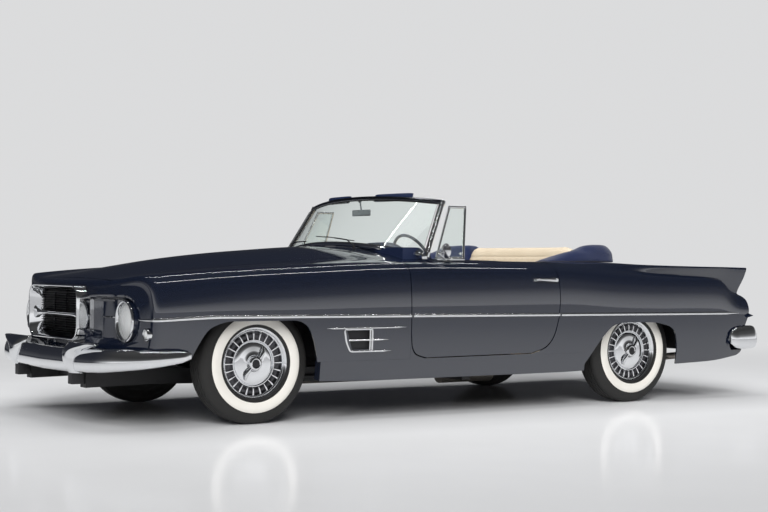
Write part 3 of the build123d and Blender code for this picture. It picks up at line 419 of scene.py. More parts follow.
def in_scene(name, data):
    """An object in the scene for a mesh, a lamp or a camera."""
    thing = bpy.data.objects.new(name, data)
    bpy.context.scene.collection.objects.link(thing)
    return thing


def linked(name, bm):
    """An object in the scene with a mesh, whose source is freed."""
    mesh = bpy.data.meshes.new(name)
    bm.to_mesh(mesh)
    bm.free()
    return in_scene(name, mesh)


def unlinked(draft, mesh):
    """The mesh of a draft, which leaves the scene."""
    bm = bmesh.new()
    bm.from_mesh(mesh)
    own = draft.data
    bpy.data.objects.remove(draft)
    bpy.data.meshes.remove(own)
    return bm


def passed(value, start, end):
    """How much of the way from a start to an end a value has gone, from 0 to 1."""
    return min(max((value - start) / (end - start), 0.0), 1.0)


def face_out(bm, centre):
    """Turn an open surface's faces to point away from a place inside."""
    bmesh.ops.recalc_face_normals(bm, faces=bm.faces)
    total = 0.0
    for face in bm.faces:
        total += face.normal.dot(face.calc_center_median() - centre) * face.calc_area()
    if total < 0:
        bmesh.ops.reverse_faces(bm, faces=bm.faces)


def made(name, bm, body, paint, replaced=(), smooth=40.0):
    """Turn a bmesh into a finished piece that rides on a body."""
    piece = linked(name, bm)
    mesh = piece.data
    mesh.polygons.foreach_set("use_smooth", [True] * len(mesh.polygons))
    mesh.set_sharp_from_angle(angle=math.radians(smooth))
    for one in paint if isinstance(paint, (list, tuple)) else [paint]:
        mesh.materials.append(finish(one))
    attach(piece, body)
    if replaced:
        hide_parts(*replaced)
    return piece


def settle(piece):
    """Apply a piece's modifiers to its mesh."""
    graph = bpy.context.evaluated_depsgraph_get()
    mesh = bpy.data.meshes.new_from_object(piece.evaluated_get(graph))
    piece.modifiers.clear()
    piece.data = mesh


def subdivided(bm):
    """The surface after one step of smooth subdivision."""
    draft = linked("draft", bm)
    step = draft.modifiers.new("smooth", "SUBSURF")
    step.levels = 1
    step.render_levels = 1
    graph = bpy.context.evaluated_depsgraph_get()
    return unlinked(draft, draft.evaluated_get(graph).to_mesh())


def thick(bm, depth):
    """Give an open skin its thickness, inwards, in millimetres."""
    bmesh.ops.solidify(bm, geom=list(bm.faces), thickness=depth * MM)
    return bm


def slopes(xs, ys):
    """Slopes of a smooth curve through points that doesn't overshoot."""
    n = len(xs)
    steps = [(ys[k + 1] - ys[k]) / (xs[k + 1] - xs[k]) for k in range(n - 1)]
    result = [steps[0]]
    for a, b in zip(steps, steps[1:]):
        result.append(0.0 if a * b <= 0 else 2 * a * b / (a + b))
    result.append(steps[-1])
    return result


class Curve:
    """Values that change smoothly with a place."""

    def __init__(self, xs, ys):
        self.xs = list(xs)
        self.ys = list(ys)
        self.slopes = slopes(self.xs, self.ys)

    def __call__(self, x):
        k = 0
        while k < len(self.xs) - 2 and x > self.xs[k + 1]:
            k += 1
        h = self.xs[k + 1] - self.xs[k]
        t = passed(x, self.xs[k], self.xs[k + 1])
        a = (1 + 2 * t) * (1 - t) ** 2
        b = t * (1 - t) ** 2
        c = t * t * (3 - 2 * t)
        d = t * t * (t - 1)
        return a * self.ys[k] + b * h * self.slopes[k] + c * self.ys[k + 1] + d * h * self.slopes[k + 1]


def smooth_path(points, steps=6):
    """A smooth open line through points."""
    spots = [0.0]
    for a, b in zip(points, points[1:]):
        spots.append(spots[-1] + math.dist(a, b))
    curves = [Curve(spots, column) for column in zip(*points)]
    result = []
    for a, b in zip(spots, spots[1:]):
        for s in range(steps):
            result.append(tuple(c(a + (b - a) * s / steps) for c in curves))
    result.append(tuple(points[-1]))
    return result


COLUMNS = [Curve([row[0] for row in SECTIONS], [row[k] for row in SECTIONS]) for k in range(1, 16)]


def half_section(y):
    """Points (x, z) from the sill over the shoulder to the centre line, at one station."""
    v = [c(y) for c in COLUMNS]
    marks = [(v[2 * k], v[2 * k + 1]) for k in range(7)] + [(0.0, v[14])]
    share = passed(y, CREASE_FROM, CREASE_FULL)
    points = []
    sharp = {}
    for k, (steps, lift_x, lift_z) in enumerate(SPANS):
        (x0, z0), (x1, z1) = marks[k], marks[k + 1]
        bow = 1.0
        if k == 3:
            bow = 1.0 - share
        for s in range(steps):
            t = s / steps
            hump = 4 * t * (1 - t) * bow
            if k == 6:
                rise = z1 - z0
                points.append((x0 * (1 - t), z0 + rise * math.sin(t * math.pi / 2)))
            else:
                points.append((x0 + (x1 - x0) * t + lift_x * hump, z0 + (z1 - z0) * t + lift_z * hump))
        if k == 2:
            sharp[len(points)] = 1.0 - share
        if k == 3:
            sharp[len(points)] = 1.0 - 0.6 * share
    points.append(marks[-1])
    for _ in range(5):
        new = list(points)
        for k in range(1, len(points) - 1):
            soft = sharp.get(k, 1.0)
            mean_x = (points[k - 1][0] + 2 * points[k][0] + points[k + 1][0]) / 4
            mean_z = (points[k - 1][1] + 2 * points[k][1] + points[k + 1][1]) / 4
            new[k] = (
                points[k][0] + (mean_x - points[k][0]) * soft,
                points[k][1] + (mean_z - points[k][1]) * soft,
            )
        points = new
    return points


def nose_y(x):
    """The nose in plan: the front face's place along the car at a distance from the middle."""
    return NOSE + NOSE_R - math.sqrt(NOSE_R ** 2 - min(abs(x), 930) ** 2)


def drawn_in(x, z, share):
    """A point of the body's outline drawn towards the nose's middle by a share of its rounding."""
    return x * (1 - share * NOSE_ROUND / 930), NOSE_Z + (z - NOSE_Z) * (1 - share * NOSE_ROUND / 250)


def hull_rows():
    """The half body's rows of points, from the front face's edge to beyond the tail."""
    shapes = {}

    def point(y, k):
        key = round(y, 1)
        if key not in shapes:
            shapes[key] = half_section(key)
        return shapes[key][k]

    count = len(half_section(0))
    start = []
    for k in range(count):
        y = -700.0
        for _ in range(5):
            y = nose_y(drawn_in(*point(y, k), 1)[0]) + NOSE_ROUND
        start.append(y)
    rows = []
    for step in range(NOSE_STEPS, 0, -1):
        angle = math.radians(90 * step / NOSE_STEPS)
        row = []
        for k in range(count):
            x, z = drawn_in(*point(start[k], k), 1 - math.cos(angle))
            row.append((x, start[k] - NOSE_ROUND * math.sin(angle), z))
        rows.append(row)
    first = -260
    for step in range(11):
        row = []
        for k in range(count):
            y = start[k] + (first - start[k]) * step / 11
            x, z = point(y, k)
            row.append((x, y, z))
        rows.append(row)
    for y in range(first, 4090, 70):
        row = []
        for k in range(count):
            x, z = point(y, k)
            row.append((x, y, z))
        rows.append(row)
    return rows


HULL = hull_rows()


def nose_spokes(edge):
    """Lines on the front face: towards the lamp's middle beside it, and upright nearer the middle."""
    low = edge[0][2]
    lamp_x, _, lamp_z = HEADLAMP

    def line(x0, z0, x1, z1, steps):
        spots = [(x0 + (x1 - x0) * s / steps, z0 + (z1 - z0) * s / steps) for s in range(steps + 1)]
        return [(x, nose_y(x), z) for x, z in spots]

    top = [p for p in edge if p[0] <= lamp_x]
    side = [p for p in edge if p[0] > lamp_x]
    turn = edge[len(side)]
    fan = [line(lamp_x + (side[0][0] - lamp_x) * s / 6, low, lamp_x, lamp_z, 14) for s in range(6)]
    fan += [line(p[0], p[2], lamp_x, lamp_z, 14) for p in side]
    fan.append(line(lamp_x, turn[2], lamp_x, lamp_z, 14))
    down = line(lamp_x, turn[2], lamp_x, lamp_z, 14) + line(lamp_x, lamp_z, lamp_x, low, 14)[1:]
    columns = [down]
    for p in top:
        columns.append(line(p[0], p[2], p[0], lamp_z, 14) + line(p[0], lamp_z, p[0], low, 14)[1:])
    return fan, columns


def recess(x, z):
    """How far the front face is set back round the lamps."""
    u = max(abs(abs(x) - RECESS_X) - RECESS_WIDE + RECESS_ROUND, 0.0)
    v = max(abs(z - RECESS_Z) - RECESS_HIGH + RECESS_ROUND, 0.0)
    depth = RECESS_ROUND - math.hypot(u, v)
    share = passed(depth, 0, RECESS_LIP)
    beside = passed(abs(x), 500, 580)
    deep = RECESS_DEEP + beside * max(LAMP_WALL - nose_y(x) - RECESS_DEEP, 0.0)
    return deep * share * share * (3 - 2 * share)


def hull_skin(first=None, last=None, full=False, drop=0.0, nose=False):
    """The body's skin between two places along it, as a smooth surface.

    The left half only, unless it is asked for in full; drop draws it inwards; nose adds the front face.
    """
    bm = bmesh.new()
    points = []
    for row in HULL:
        near = min(p[1] for p in row)
        far = max(p[1] for p in row)
        if (first is None or far > first - 150) and (last is None or near < last + 150):
            points.append([at(*p) for p in row])
    bridge_rows(bm, points)
    if nose:
        for group in nose_spokes(HULL[0]):
            bridge_rows(bm, [[at(*p) for p in row] for row in group])
        bmesh.ops.remove_doubles(bm, verts=bm.verts, dist=MERGE)
    if full:
        bmesh.ops.mirror(bm, geom=everything(bm), axis="X", merge_dist=MERGE)
    bm = subdivided(bm)
    face_out(bm, at(0, 1300, 500))
    if nose:
        for vert in bm.verts:
            y = vert.co.y / MM - FRONT_AXLE
            if y < nose_y(vert.co.x / MM) + 2:
                vert.co.y += recess(vert.co.x / MM, vert.co.z / MM) * MM
    if drop:
        for vert in bm.verts:
            vert.co -= vert.normal * drop * MM
    return bm


def inside(point, outline):
    """True where a point lies in a closed outline."""
    u, v = point
    hit = False
    for (u0, v0), (u1, v1) in zip(outline, outline[1:] + outline[:1]):
        if (v0 > v) != (v1 > v) and u < (u1 - u0) * (v - v0) / (v1 - v0) + u0:
            hit = not hit
    return hit


VIEWS = {"x": (1, 2), "y": (0, 2), "z": (0, 1)}


def cut(bm, outline, view, keep, reach=None, above=-1000):
    """Cut a surface along an outline seen along an axis, and keep its inside or its outside.

    The outline is in millimetres, as (y, z), (x, z) or (x, y), with y from the front axle; reach
    limits the cut to faces ahead of a place along the car, and above to those over a height.
    """
    u, v = VIEWS[view]
    flat = []
    for a, b in outline:
        spot = at(*{"x": (0, a, b), "y": (a, 0, b), "z": (a, b, 0)}[view])
        flat.append((spot[u], spot[v]))
    limit = 100.0 if reach is None else (FRONT_AXLE + reach) * MM
    near = 0.03
    for (u0, v0), (u1, v1) in zip(flat, flat[1:] + flat[:1]):
        low_u, high_u = min(u0, u1) - near, max(u0, u1) + near
        low_v, high_v = min(v0, v1) - near, max(v0, v1) + near
        faces = []
        for face in bm.faces:
            us = [vert.co[u] for vert in face.verts]
            vs = [vert.co[v] for vert in face.verts]
            if max(us) > low_u and min(us) < high_u and max(vs) > low_v and min(vs) < high_v:
                if face.verts[0].co.y < limit and face.verts[0].co.z > above * MM:
                    faces.append(face)
        normal = Vector((0.0, 0.0, 0.0))
        normal[u], normal[v] = v1 - v0, u0 - u1
        if not faces or normal.length < 1e-9:
            continue
        place = Vector((0.0, 0.0, 0.0))
        place[u], place[v] = u0, v0
        geom = set(faces)
        for face in faces:
            geom.update(face.edges)
            geom.update(face.verts)
        bmesh.ops.bisect_plane(bm, geom=list(geom), plane_co=place, plane_no=normal.normalized(), dist=1e-5)
    gone = []
    for face in bm.faces:
        middle = face.calc_center_median()
        reached = middle.y < limit and middle.z > above * MM
        if reached and inside((middle[u], middle[v]), flat) != (keep == "inside"):
            gone.append(face)
    bmesh.ops.delete(bm, geom=gone, context="FACES")


def trim(bm, axis, place, side):
    """Cut a surface by a plane across an axis, and drop what is on one side of it."""
    spot, normal = [0, 0, 0], [0, 0, 0]
    spot["xyz".index(axis)] = place
    normal["xyz".index(axis)] = side
    bmesh.ops.bisect_plane(
        bm,
        geom=everything(bm),
        plane_co=at(*spot),
        plane_no=Vector(normal).normalized(),
        clear_outer=True,
        dist=1e-5,
    )


def mirrored(bm):
    """The same surface on the car's other side."""
    other = bm.copy()
    bmesh.ops.scale(other, vec=(-1, 1, 1), verts=other.verts)
    bmesh.ops.reverse_faces(other, faces=other.faces)
    return other


def absorb(bm, other):
    """Add a mesh to another, and free it."""
    mesh = bpy.data.meshes.new("draft")
    other.to_mesh(mesh)
    other.free()
    bm.from_mesh(mesh)
    bpy.data.meshes.remove(mesh)


def add_other_side(bm):
    """Add the mirror image to the same mesh."""
    absorb(bm, mirrored(bm))
    return bm


def joined(parts):
    """Several meshes in one, their sources freed."""
    bm = bmesh.new()
    for part in parts:
        absorb(bm, part)
    return bm


def moved(bm, vec):
    """The same mesh after a move."""
    bmesh.ops.translate(bm, vec=vec, verts=bm.verts)
    return bm


def turned(bm, matrix):
    """The same mesh after a turn about the origin."""
    bmesh.ops.rotate(bm, cent=(0, 0, 0), matrix=matrix, verts=bm.verts)
    return bm


def bevelled(bm, r, segments=3):
    """The same mesh with round edges, in metres."""
    bmesh.ops.bevel(
        bm, geom=list(bm.edges), offset=r, segments=segments, profile=0.5, affect="EDGES", material=-1
    )
    return bm


def cube(size):
    """A box round the origin, in metres."""
    bm = bmesh.new()
    bmesh.ops.create_cube(bm, size=1.0)
    bmesh.ops.scale(bm, vec=size, verts=bm.verts)
    return bm


def ring_circle(x, z, r, steps=40):
    """A circle's outline in front view."""
    turns = [math.tau * k / steps for k in range(steps)]
    return [(x + r * math.cos(turn), z + r * math.sin(turn)) for turn in turns]


def round_box(x0, x1, z0, z1, r, steps=6):
    """A rectangle's outline with round corners."""
    corners = ((x1 - r, z1 - r), (x0 + r, z1 - r), (x0 + r, z0 + r), (x1 - r, z0 + r))
    points = []
    for quarter, (cx, cz) in enumerate(corners):
        for k in range(steps + 1):
            angle = math.radians(90 * quarter + 90 * k / steps)
            points.append((cx + r * math.cos(angle), cz + r * math.sin(angle)))
    return points


def spun(profile, centre, axis, steps=64):
    """A turned piece from (along, radius) points on an axis through a centre."""
    bm = bmesh.new()
    along = OUT if axis == "x" else BACK
    edges = line_of(bm, [along * a * MM + UP * r * MM for a, r in profile])
    bmesh.ops.spin(
        bm,
        geom=list(bm.verts) + edges,
        cent=(0, 0, 0),
        axis=along,
        angle=math.tau,
        steps=steps,
        use_merge=True,
        use_duplicate=False,
    )
    bmesh.ops.remove_doubles(bm, verts=bm.verts, dist=1e-6)
    bmesh.ops.recalc_face_normals(bm, faces=bm.faces)
    return moved(bm, centre)


def block(x0, x1, y0, y1, z0, z1, edge=0.0):
    """A block between two corners, with its edges eased."""
    low, high = at(min(x0, x1), min(y0, y1), min(z0, z1)), at(max(x0, x1), max(y0, y1), max(z0, z1))
    bm = moved(cube(high - low), (low + high) / 2)
    if edge:
        bevelled(bm, edge * MM)
    return bm


def heading(points, k):
    """The way that a line of points goes at one of them."""
    return (points[min(k + 1, len(points) - 1)] - points[max(k - 1, 0)]).normalized()


def tube(points, r, steps=10):
    """A round bar along points, in metres."""
    rows = []
    for k, p in enumerate(points):
        way = heading(points, k)
        side = way.cross(UP)
        if side.length < 0.1:
            side = way.cross(BACK)
        side.normalize()
        up = side.cross(way)
        size = r[k] if isinstance(r, (list, tuple)) else r
        ring = []
        for s in range(steps):
            angle = math.tau * s / steps
            ring.append(p + (side * math.cos(angle) + up * math.sin(angle)) * size * MM)
        rows.append(ring)
    bm = bmesh.new()
    bridge_rows(bm, rows, True)
    bmesh.ops.holes_fill(bm, edges=bm.edges, sides=steps)
    bmesh.ops.recalc_face_normals(bm, faces=bm.faces)
    return bm


def lofted(rows):
    """A closed form through closed rows of points in metres."""
    bm = bmesh.new()
    bridge_rows(bm, rows, True)
    bmesh.ops.holes_fill(bm, edges=[e for e in bm.edges if e.is_boundary], sides=0)
    bmesh.ops.recalc_face_normals(bm, faces=bm.faces)
    return bm


def paint_node(name, paint):
    """Give a shown CAD node one of the finishes."""
    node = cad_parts[name]
    node.data.materials.clear()
    node.data.materials.append(finish(paint))


# Body panels


def door_outline(grow):
    """The door in side view, with its round lower corners."""
    low, front, rear = DOOR_LOW - grow, DOOR_FRONT - grow, DOOR_REAR + grow
    corner = [(front, low + 150), (front + 8, low + 75), (front + 38, low + 25), (front + 110, low)]
    heel = [(rear - 230, low + 6), (rear - 120, low + 40), (rear - 50, low + 115), (rear - 12, low + 230)]
    back = [(rear, low + 350), (rear - 6, 840), (rear - 26, 905), (rear - 60, 945), (rear - 78, 960)]
    curves = [spot for part in (corner, heel, back) for spot in smooth_path(part, 5)]
    return [(front, 1200)] + curves + [(rear - 78, 1200)]


def hood_outline(grow, front, rear):
    """The bonnet in plan view."""
    fore, aft = HOOD_X[0] + grow, HOOD_X[1] + grow
    return [(-fore, front), (fore, front), (aft, rear), (-aft, rear)]


def tail_outline():
    """All of the body ahead of the tail's edge, in side view."""
    return smooth_path(TAIL, 3) + [(-1200, 200), (-1200, 975)]


def front_end():
    """A fender with its front face, arch, lamp seats and vent."""
    skin = hull_skin(None, DOOR_FRONT, nose=True)
    trim(skin, "y", DOOR_FRONT - SEAM, 1)
    trim(skin, "x", FENDER_X, -1)
    cut(skin, hood_outline(SEAM, HOOD_FRONT - SEAM, HOOD_REAR + 12), "z", "outside", above=HOOD_Z)
    cut(skin, [(0, HOOD_REAR + 6), (COWL_X, HOOD_REAR + 6), (COWL_X, 1300), (0, 1300)], "z", "outside")
    cut(skin, smooth_path(FRONT_ARCH), "x", "outside")
    cut(skin, VENT, "x", "outside")
    under = [(-1200, 100), (-1200, 326), (-855, 343), (-730, 356), (-600, 374), (-440, 395), (-440, 100)]
    cut(skin, under, "x", "outside")
    fore, top = ROCKER_FRONT - 40, DOOR_LOW - SEAM
    low = [(fore, 100), (fore, top), (1100, top), (1100, 100)]
    cut(skin, low, "x", "outside")
    x, _, z = HEADLAMP
    cut(skin, ring_circle(x, z, HEADLAMP_R + 1), "y", "outside", -640)
    x, _, z = PARKING
    cut(skin, ring_circle(x, z, PARKING_R + 1, 24), "y", "outside", -500)
    return thick(skin, SKIN)


def nose_middle():
    """The front face between the fenders, round the grille."""
    skin = hull_skin(None, HOOD_FRONT, full=True, nose=True)
    trim(skin, "x", FENDER_X, 1)
    trim(skin, "x", -FENDER_X, -1)
    trim(skin, "y", HOOD_FRONT + 60, 1)
    cut(skin, hood_outline(SEAM, HOOD_FRONT - SEAM, HOOD_REAR), "z", "outside", above=HOOD_Z)
    mouth = round_box(-GRILLE_X - 1, GRILLE_X + 1, GRILLE_LOW - 1, GRILLE_TOP + 1, GRILLE_ROUND + 1)
    cut(skin, mouth, "y", "outside")
    return thick(skin, SKIN)


def hood_skin():
    """The bonnet."""
    bm = hull_skin(None, HOOD_REAR, full=True)
    trim(bm, "z", 740, -1)
    cut(bm, hood_outline(0, HOOD_FRONT, HOOD_REAR), "z", "inside")
    return thick(bm, SKIN)


def cowl_skin():
    """The panel between the bonnet and the windscreen's foot."""
    bm = hull_skin(HOOD_REAR, COWL_REAR, full=True)
    trim(bm, "z", 800, -1)
    outline = [
        (-COWL_X + 1, HOOD_REAR + 12), (COWL_X - 1, HOOD_REAR + 12), (COWL_X - 1, DOOR_FRONT - SEAM + 1),
        (POST_X, DOOR_FRONT - SEAM + 1), (POST_X, COWL_REAR), (-POST_X, COWL_REAR),
        (-POST_X, DOOR_FRONT - SEAM + 1), (-COWL_X + 1, DOOR_FRONT - SEAM + 1),
    ]
    cut(bm, outline, "z", "inside")
    return thick(bm, SKIN)


def door_skin():
    """A door's outer skin with its top, and the inner box behind it."""
    skin = hull_skin(DOOR_FRONT, DOOR_REAR)
    trim(skin, "x", DOOR_TOP_X, -1)
    cut(skin, door_outline(0), "x", "inside")
    fore = [(700, 900), (POST_X + 12, 900), (POST_X + 12, COWL_REAR + 22), (700, COWL_REAR + 22)]
    cut(skin, fore, "z", "outside")
    bm = thick(skin, 20)
    inner = hull_skin(DOOR_FRONT, DOOR_REAR, drop=20)
    trim(inner, "x", DOOR_TOP_X, -1)
    outline = [
        (DOOR_FRONT + 40, 840), (DOOR_FRONT + 40, DOOR_LOW + 120), (DOOR_FRONT + 150, DOOR_LOW + 14),
        (DOOR_REAR - 230, DOOR_LOW + 22), (DOOR_REAR - 70, DOOR_LOW + 210), (DOOR_REAR - 30, 700),
        (DOOR_REAR - 30, 860), (DOOR_REAR - 100, 925), (COWL_REAR + 24, 925), (COWL_REAR + 24, 840),
    ]
    cut(inner, outline, "x", "inside")
    fore = [(700, 900), (962, 900), (962, COWL_REAR + 24), (700, COWL_REAR + 24)]
    cut(inner, fore, "z", "outside")
    return joined([bm, thick(inner, 66)])


def quarter_skin():
    """The rear quarter with its fin and arch, and its end face."""
    skin = hull_skin(DOOR_REAR - 130, None)
    trim(skin, "x", LID_X + SEAM, -1)
    cut(skin, tail_outline(), "x", "inside")
    cut(skin, door_outline(SEAM), "x", "outside")
    trim(skin, "y", DOOR_REAR - 120, -1)
    cut(skin, smooth_path(REAR_ARCH), "x", "outside")
    cut(skin, TAIL_NOTCH, "x", "outside")
    cut(skin, [(700, 1900), (COVER_X, 1900), (COVER_X, DECK_FRONT), (700, DECK_FRONT)], "z", "outside")
    low = [(2000, 100), (ROCKER_REAR, 100), (ROCKER_REAR, DOOR_LOW - SEAM), (2000, DOOR_LOW - SEAM)]
    cut(skin, low, "x", "outside")
    bm = joined([skin, tail_wall(LID_X + SEAM)])
    bmesh.ops.remove_doubles(bm, verts=bm.verts, dist=1e-5)
    return thick(bm, SKIN)


def side_at(y, z):
    """How far out the body's side is at a place and height, below the crease or on the fin."""
    points = half_section(y)
    best = None
    for (x0, z0), (x1, z1) in zip(points, points[1:]):
        if (z0 - z) * (z1 - z) <= 0 and z0 != z1:
            x = x0 + (x1 - x0) * (z - z0) / (z1 - z0)
            best = x if best is None else max(best, x)
    return best if best is not None else points[0][0]


def faced_back(bm):
    """Turn an open surface's faces to the rear."""
    bmesh.ops.recalc_face_normals(bm, faces=bm.faces)
    if sum(face.normal.y for face in bm.faces) < 0:
        bmesh.ops.reverse_faces(bm, faces=bm.faces)
    return bm


def tail_wall(x_in):
    """The end face across the tail, from an inner x out to the skin."""
    rows = []
    for y, z in smooth_path(TAIL, 3):
        if 310 < z < 915:
            outer = side_at(y, z)
            inner = x_in if z < 868 else 914
            rows.append([at(inner + (outer - inner) * s / 8, y, z) for s in range(9)])
    bm = bmesh.new()
    bridge_rows(bm, rows)
    return faced_back(bm)


def middle_tail(z0, z1):
    """The end face between the quarters, between two heights."""
    rows = []
    for y, z in smooth_path(TAIL, 3):
        if z0 - 60 < z < z1 + 60:
            rows.append([at(-LID_X - SEAM + (2 * LID_X + 2 * SEAM) * s / 24, y, z) for s in range(25)])
    bm = bmesh.new()
    bridge_rows(bm, rows)
    trim(bm, "z", z0, -1)
    trim(bm, "z", z1, 1)
    return faced_back(bm)


def lid_skin():
    """The boot lid: its top and its rear face down to the lip."""
    top = hull_skin(LID_FRONT, None, full=True)
    cut(top, tail_outline(), "x", "inside")
    cut(top, [(-LID_X, LID_FRONT), (LID_X, LID_FRONT), (LID_X, 4200), (-LID_X, 4200)], "z", "inside")
    trim(top, "z", 740, -1)
    face = middle_tail(LIP_Z, 884)
    trim(face, "x", LID_X, 1)
    trim(face, "x", -LID_X, -1)
    return joined([thick(top, SKIN), thick(face, SKIN)])


def deck_skin():
    """The fixed deck ahead of the boot lid."""
    bm = hull_skin(DECK_FRONT, LID_FRONT, full=True)
    trim(bm, "z", 800, -1)
    wide, rear = LID_X + SEAM - 1, LID_FRONT - 12
    cut(bm, [(-wide, DECK_FRONT), (wide, DECK_FRONT), (wide, rear), (-wide, rear)], "z", "inside")
    return thick(bm, SKIN)


def tail_panel():
    """The panel below the boot lid."""
    bm = middle_tail(312, LIP_Z - SEAM)
    for side in (-1, 1):
        cut(bm, round_box(side * 440 - 36, side * 440 + 36, 380, 480, 10), "y", "outside")
    return thick(bm, SKIN)


def rocker_skin():
    """The sill below the door."""
    bm = hull_skin(ROCKER_FRONT, ROCKER_REAR)
    trim(bm, "y", ROCKER_FRONT, -1)
    trim(bm, "y", ROCKER_REAR, 1)
    trim(bm, "z", DOOR_LOW - SEAM + 1, 1)
    corners = hull_skin(DOOR_FRONT - 60, DOOR_REAR)
    cut(corners, door_outline(SEAM), "x", "outside")
    trim(corners, "z", DOOR_LOW - SEAM + 1, -1)
    trim(corners, "z", 560, 1)
    trim(corners, "y", DOOR_FRONT - SEAM + 1, -1)
    trim(corners, "y", DOOR_REAR - 120, 1)
    return joined([thick(bm, 60), thick(corners, SKIN)])


def build_body():
    """All painted panels."""
    left = door_skin()
    panels = [
        ("front_fender_skins", add_other_side(front_end()), "root", "front_fenders"),
        ("nose_skin", nose_middle(), "root", "nose_panel"),
        ("bonnet_skin", hood_skin(), "bonnet", "bonnet"),
        ("cowl_skin", cowl_skin(), "root", "cowl"),
        ("door_skin_left", left, "door_left", "door_left"),
        ("door_skin_right", mirrored(left), "door_right", "door_right"),
        ("rear_quarter_skins", add_other_side(quarter_skin()), "root", "rear_quarters"),
        ("boot_lid_skin", lid_skin(), "boot_lid", "boot_lid"),
        ("rear_panel_skins", joined([deck_skin(), tail_panel()]), "root", "rear_panels"),
        ("rocker_skins", add_other_side(rocker_skin()), "root", "rockers"),
    ]
    for name, skin, body, node in panels:
        made(name, skin, body, "body_paint", [node])


# Wheels


def tinted(bm, index):
    """The same mesh with all its faces on one of its piece's finishes."""
    for face in bm.faces:
        face.material_index = index
    return bm


def repeated(bm, count, axis):
    """The same form again and again round an axis through the origin."""
    parts = []
    for k in range(count):
        one = bm.copy()
        parts.append(turned(one, Matrix.Rotation(math.tau * k / count, 3, axis)))
    bm.free()
    return joined(parts)


TYRE_HALF = [
    (70, 211), (80, 210), (86, 213), (88, 219), (89, 223), (90, 226), (93, 238), (95, 250), (96, 262),
    (95.5, 272), (93.5, 281), (91, 286), (92, 288), (91.5, 291), (89, 294), (88, 304), (85, 316),
    (81, 327), (76, 336), (70, 343), (64, 347.5),
]
WHITE_BAND = (225, 286)
GROOVES = (15, 43)
GROOVE_HALF = 3
TREAD_TURNS = 144


def tyre():
    """A tyre round the origin, its white side to +X."""
    profile = list(TYRE_HALF)
    for place in reversed(GROOVES):
        crown = WHEEL_R - 3 * (place / 60) ** 2
        floor = crown - user_size("groove_depth")
        profile += [
            (place + GROOVE_HALF, crown), (place + GROOVE_HALF - 1, floor),
            (place - GROOVE_HALF + 1, floor), (place - GROOVE_HALF, crown),
        ]
    profile += [(-a, r) for a, r in reversed(profile)]
    profile.append(profile[0])
    bm = spun(profile, (0, 0, 0), "x", TREAD_TURNS)
    for vert in bm.verts:
        r = math.hypot(vert.co.y, vert.co.z) / MM
        if r > 338 and abs(vert.co.x) < 0.060:
            turn = round(math.atan2(vert.co.y, vert.co.z) / math.tau * TREAD_TURNS)
            vert.co.x += (0, 4, 0, -4)[turn % 4] * MM
    for face in bm.faces:
        middle = face.calc_center_median()
        r = math.hypot(middle.y, middle.z) / MM
        face.material_index = 1 if WHITE_BAND[0] < r < WHITE_BAND[1] and middle.x > 0 else 0
    return bm


RIM_PROFILE = [
    (40, 187), (57, 185), (62, 187), (66, 190), (67.5, 193), (67, 195), (70, 197), (74, 200), (77, 204),
    (79, 208), (77, 211), (70, 212), (58, 210), (46, 203), (40, 198), (40, 187),
]
# The backing behind the slots, in the darker plating: painted shade between the fins.
SLOT_BACK = [(38, 188), (40, 188), (47, 176), (50, 164), (47, 150), (41, 134), (38, 134), (38, 188)]
DISH_PROFILE = [
    (38, 137), (54, 138), (58, 136), (58, 132), (52, 129), (46, 127), (46, 124), (53, 121), (56, 114),
    (58, 95), (59.5, 72), (61, 57), (64, 49), (72, 44), (82, 41), (88, 36), (90, 29), (88, 24),
    (84, 22), (40, 22), (38, 137),
]
CAP_PROFILE = [(80, 22), (88, 21.5), (90, 18), (89, 14), (90.5, 10), (91.5, 4), (91.5, 0)]
BARREL_PROFILE = [
    (-62, 206), (-66, 210), (-58, 209), (-48, 191), (42, 189), (42, 185), (-52, 186), (-62, 206),
]
DRUM_PROFILE = [
    (-62, 19), (-62, 146), (-58, 148), (8, 148), (14, 145), (20, 138), (34, 100), (37, 19), (-62, 19),
]
FINS = 24


def wheel():
    """A wheel round the origin, its cover to +X: rim, slots between fins backed in darker plating as painted
    shade, dish, cap and two-bar spinner.
    """
    fin = cube((0.016, 0.011, 0.050))
    for vert in fin.verts:
        vert.co.y *= (1.30 if vert.co.z > 0 else 0.85) * (0.72 if vert.co.x > 0 else 1.25)
    fins = repeated(bevelled(moved(fin, (0.050, 0, 0.161)), 0.0016, 2), FINS, "X")
    arm_line = [(0.080, 0.026, 0.024), (0.078, 0.046, 0.050), (0.072, 0.056, 0.074), (0.064, 0.058, 0.096)]
    arm_sizes = [9, 10, 11, 11, 11, 11, 10.5, 10, 9.5, 9, 8, 6.5, 4]
    arm = tube([Vector(p) for p in smooth_path(arm_line, 4)], arm_sizes, 12)
    for vert in arm.verts:
        vert.co.x = 0.070 + (vert.co.x - 0.070) * 0.8
    arms = repeated(arm, 2, "X")
    turned_parts = (
        (SLOT_BACK, 64, 3), (CAP_PROFILE, 48, 1), (BARREL_PROFILE, 64, 1), (DRUM_PROFILE, 64, 2),
    )
    parts = [
        tinted(spun(RIM_PROFILE, (0, 0, 0), "x", 96), 0),
        tinted(fins, 0),
        tinted(spun(DISH_PROFILE, (0, 0, 0), "x", 96), 0),
        tinted(arms, 0),
    ]
    for profile, steps, paint in turned_parts:
        parts.append(tinted(spun(profile, (0, 0, 0), "x", steps), paint))
    return joined(parts)


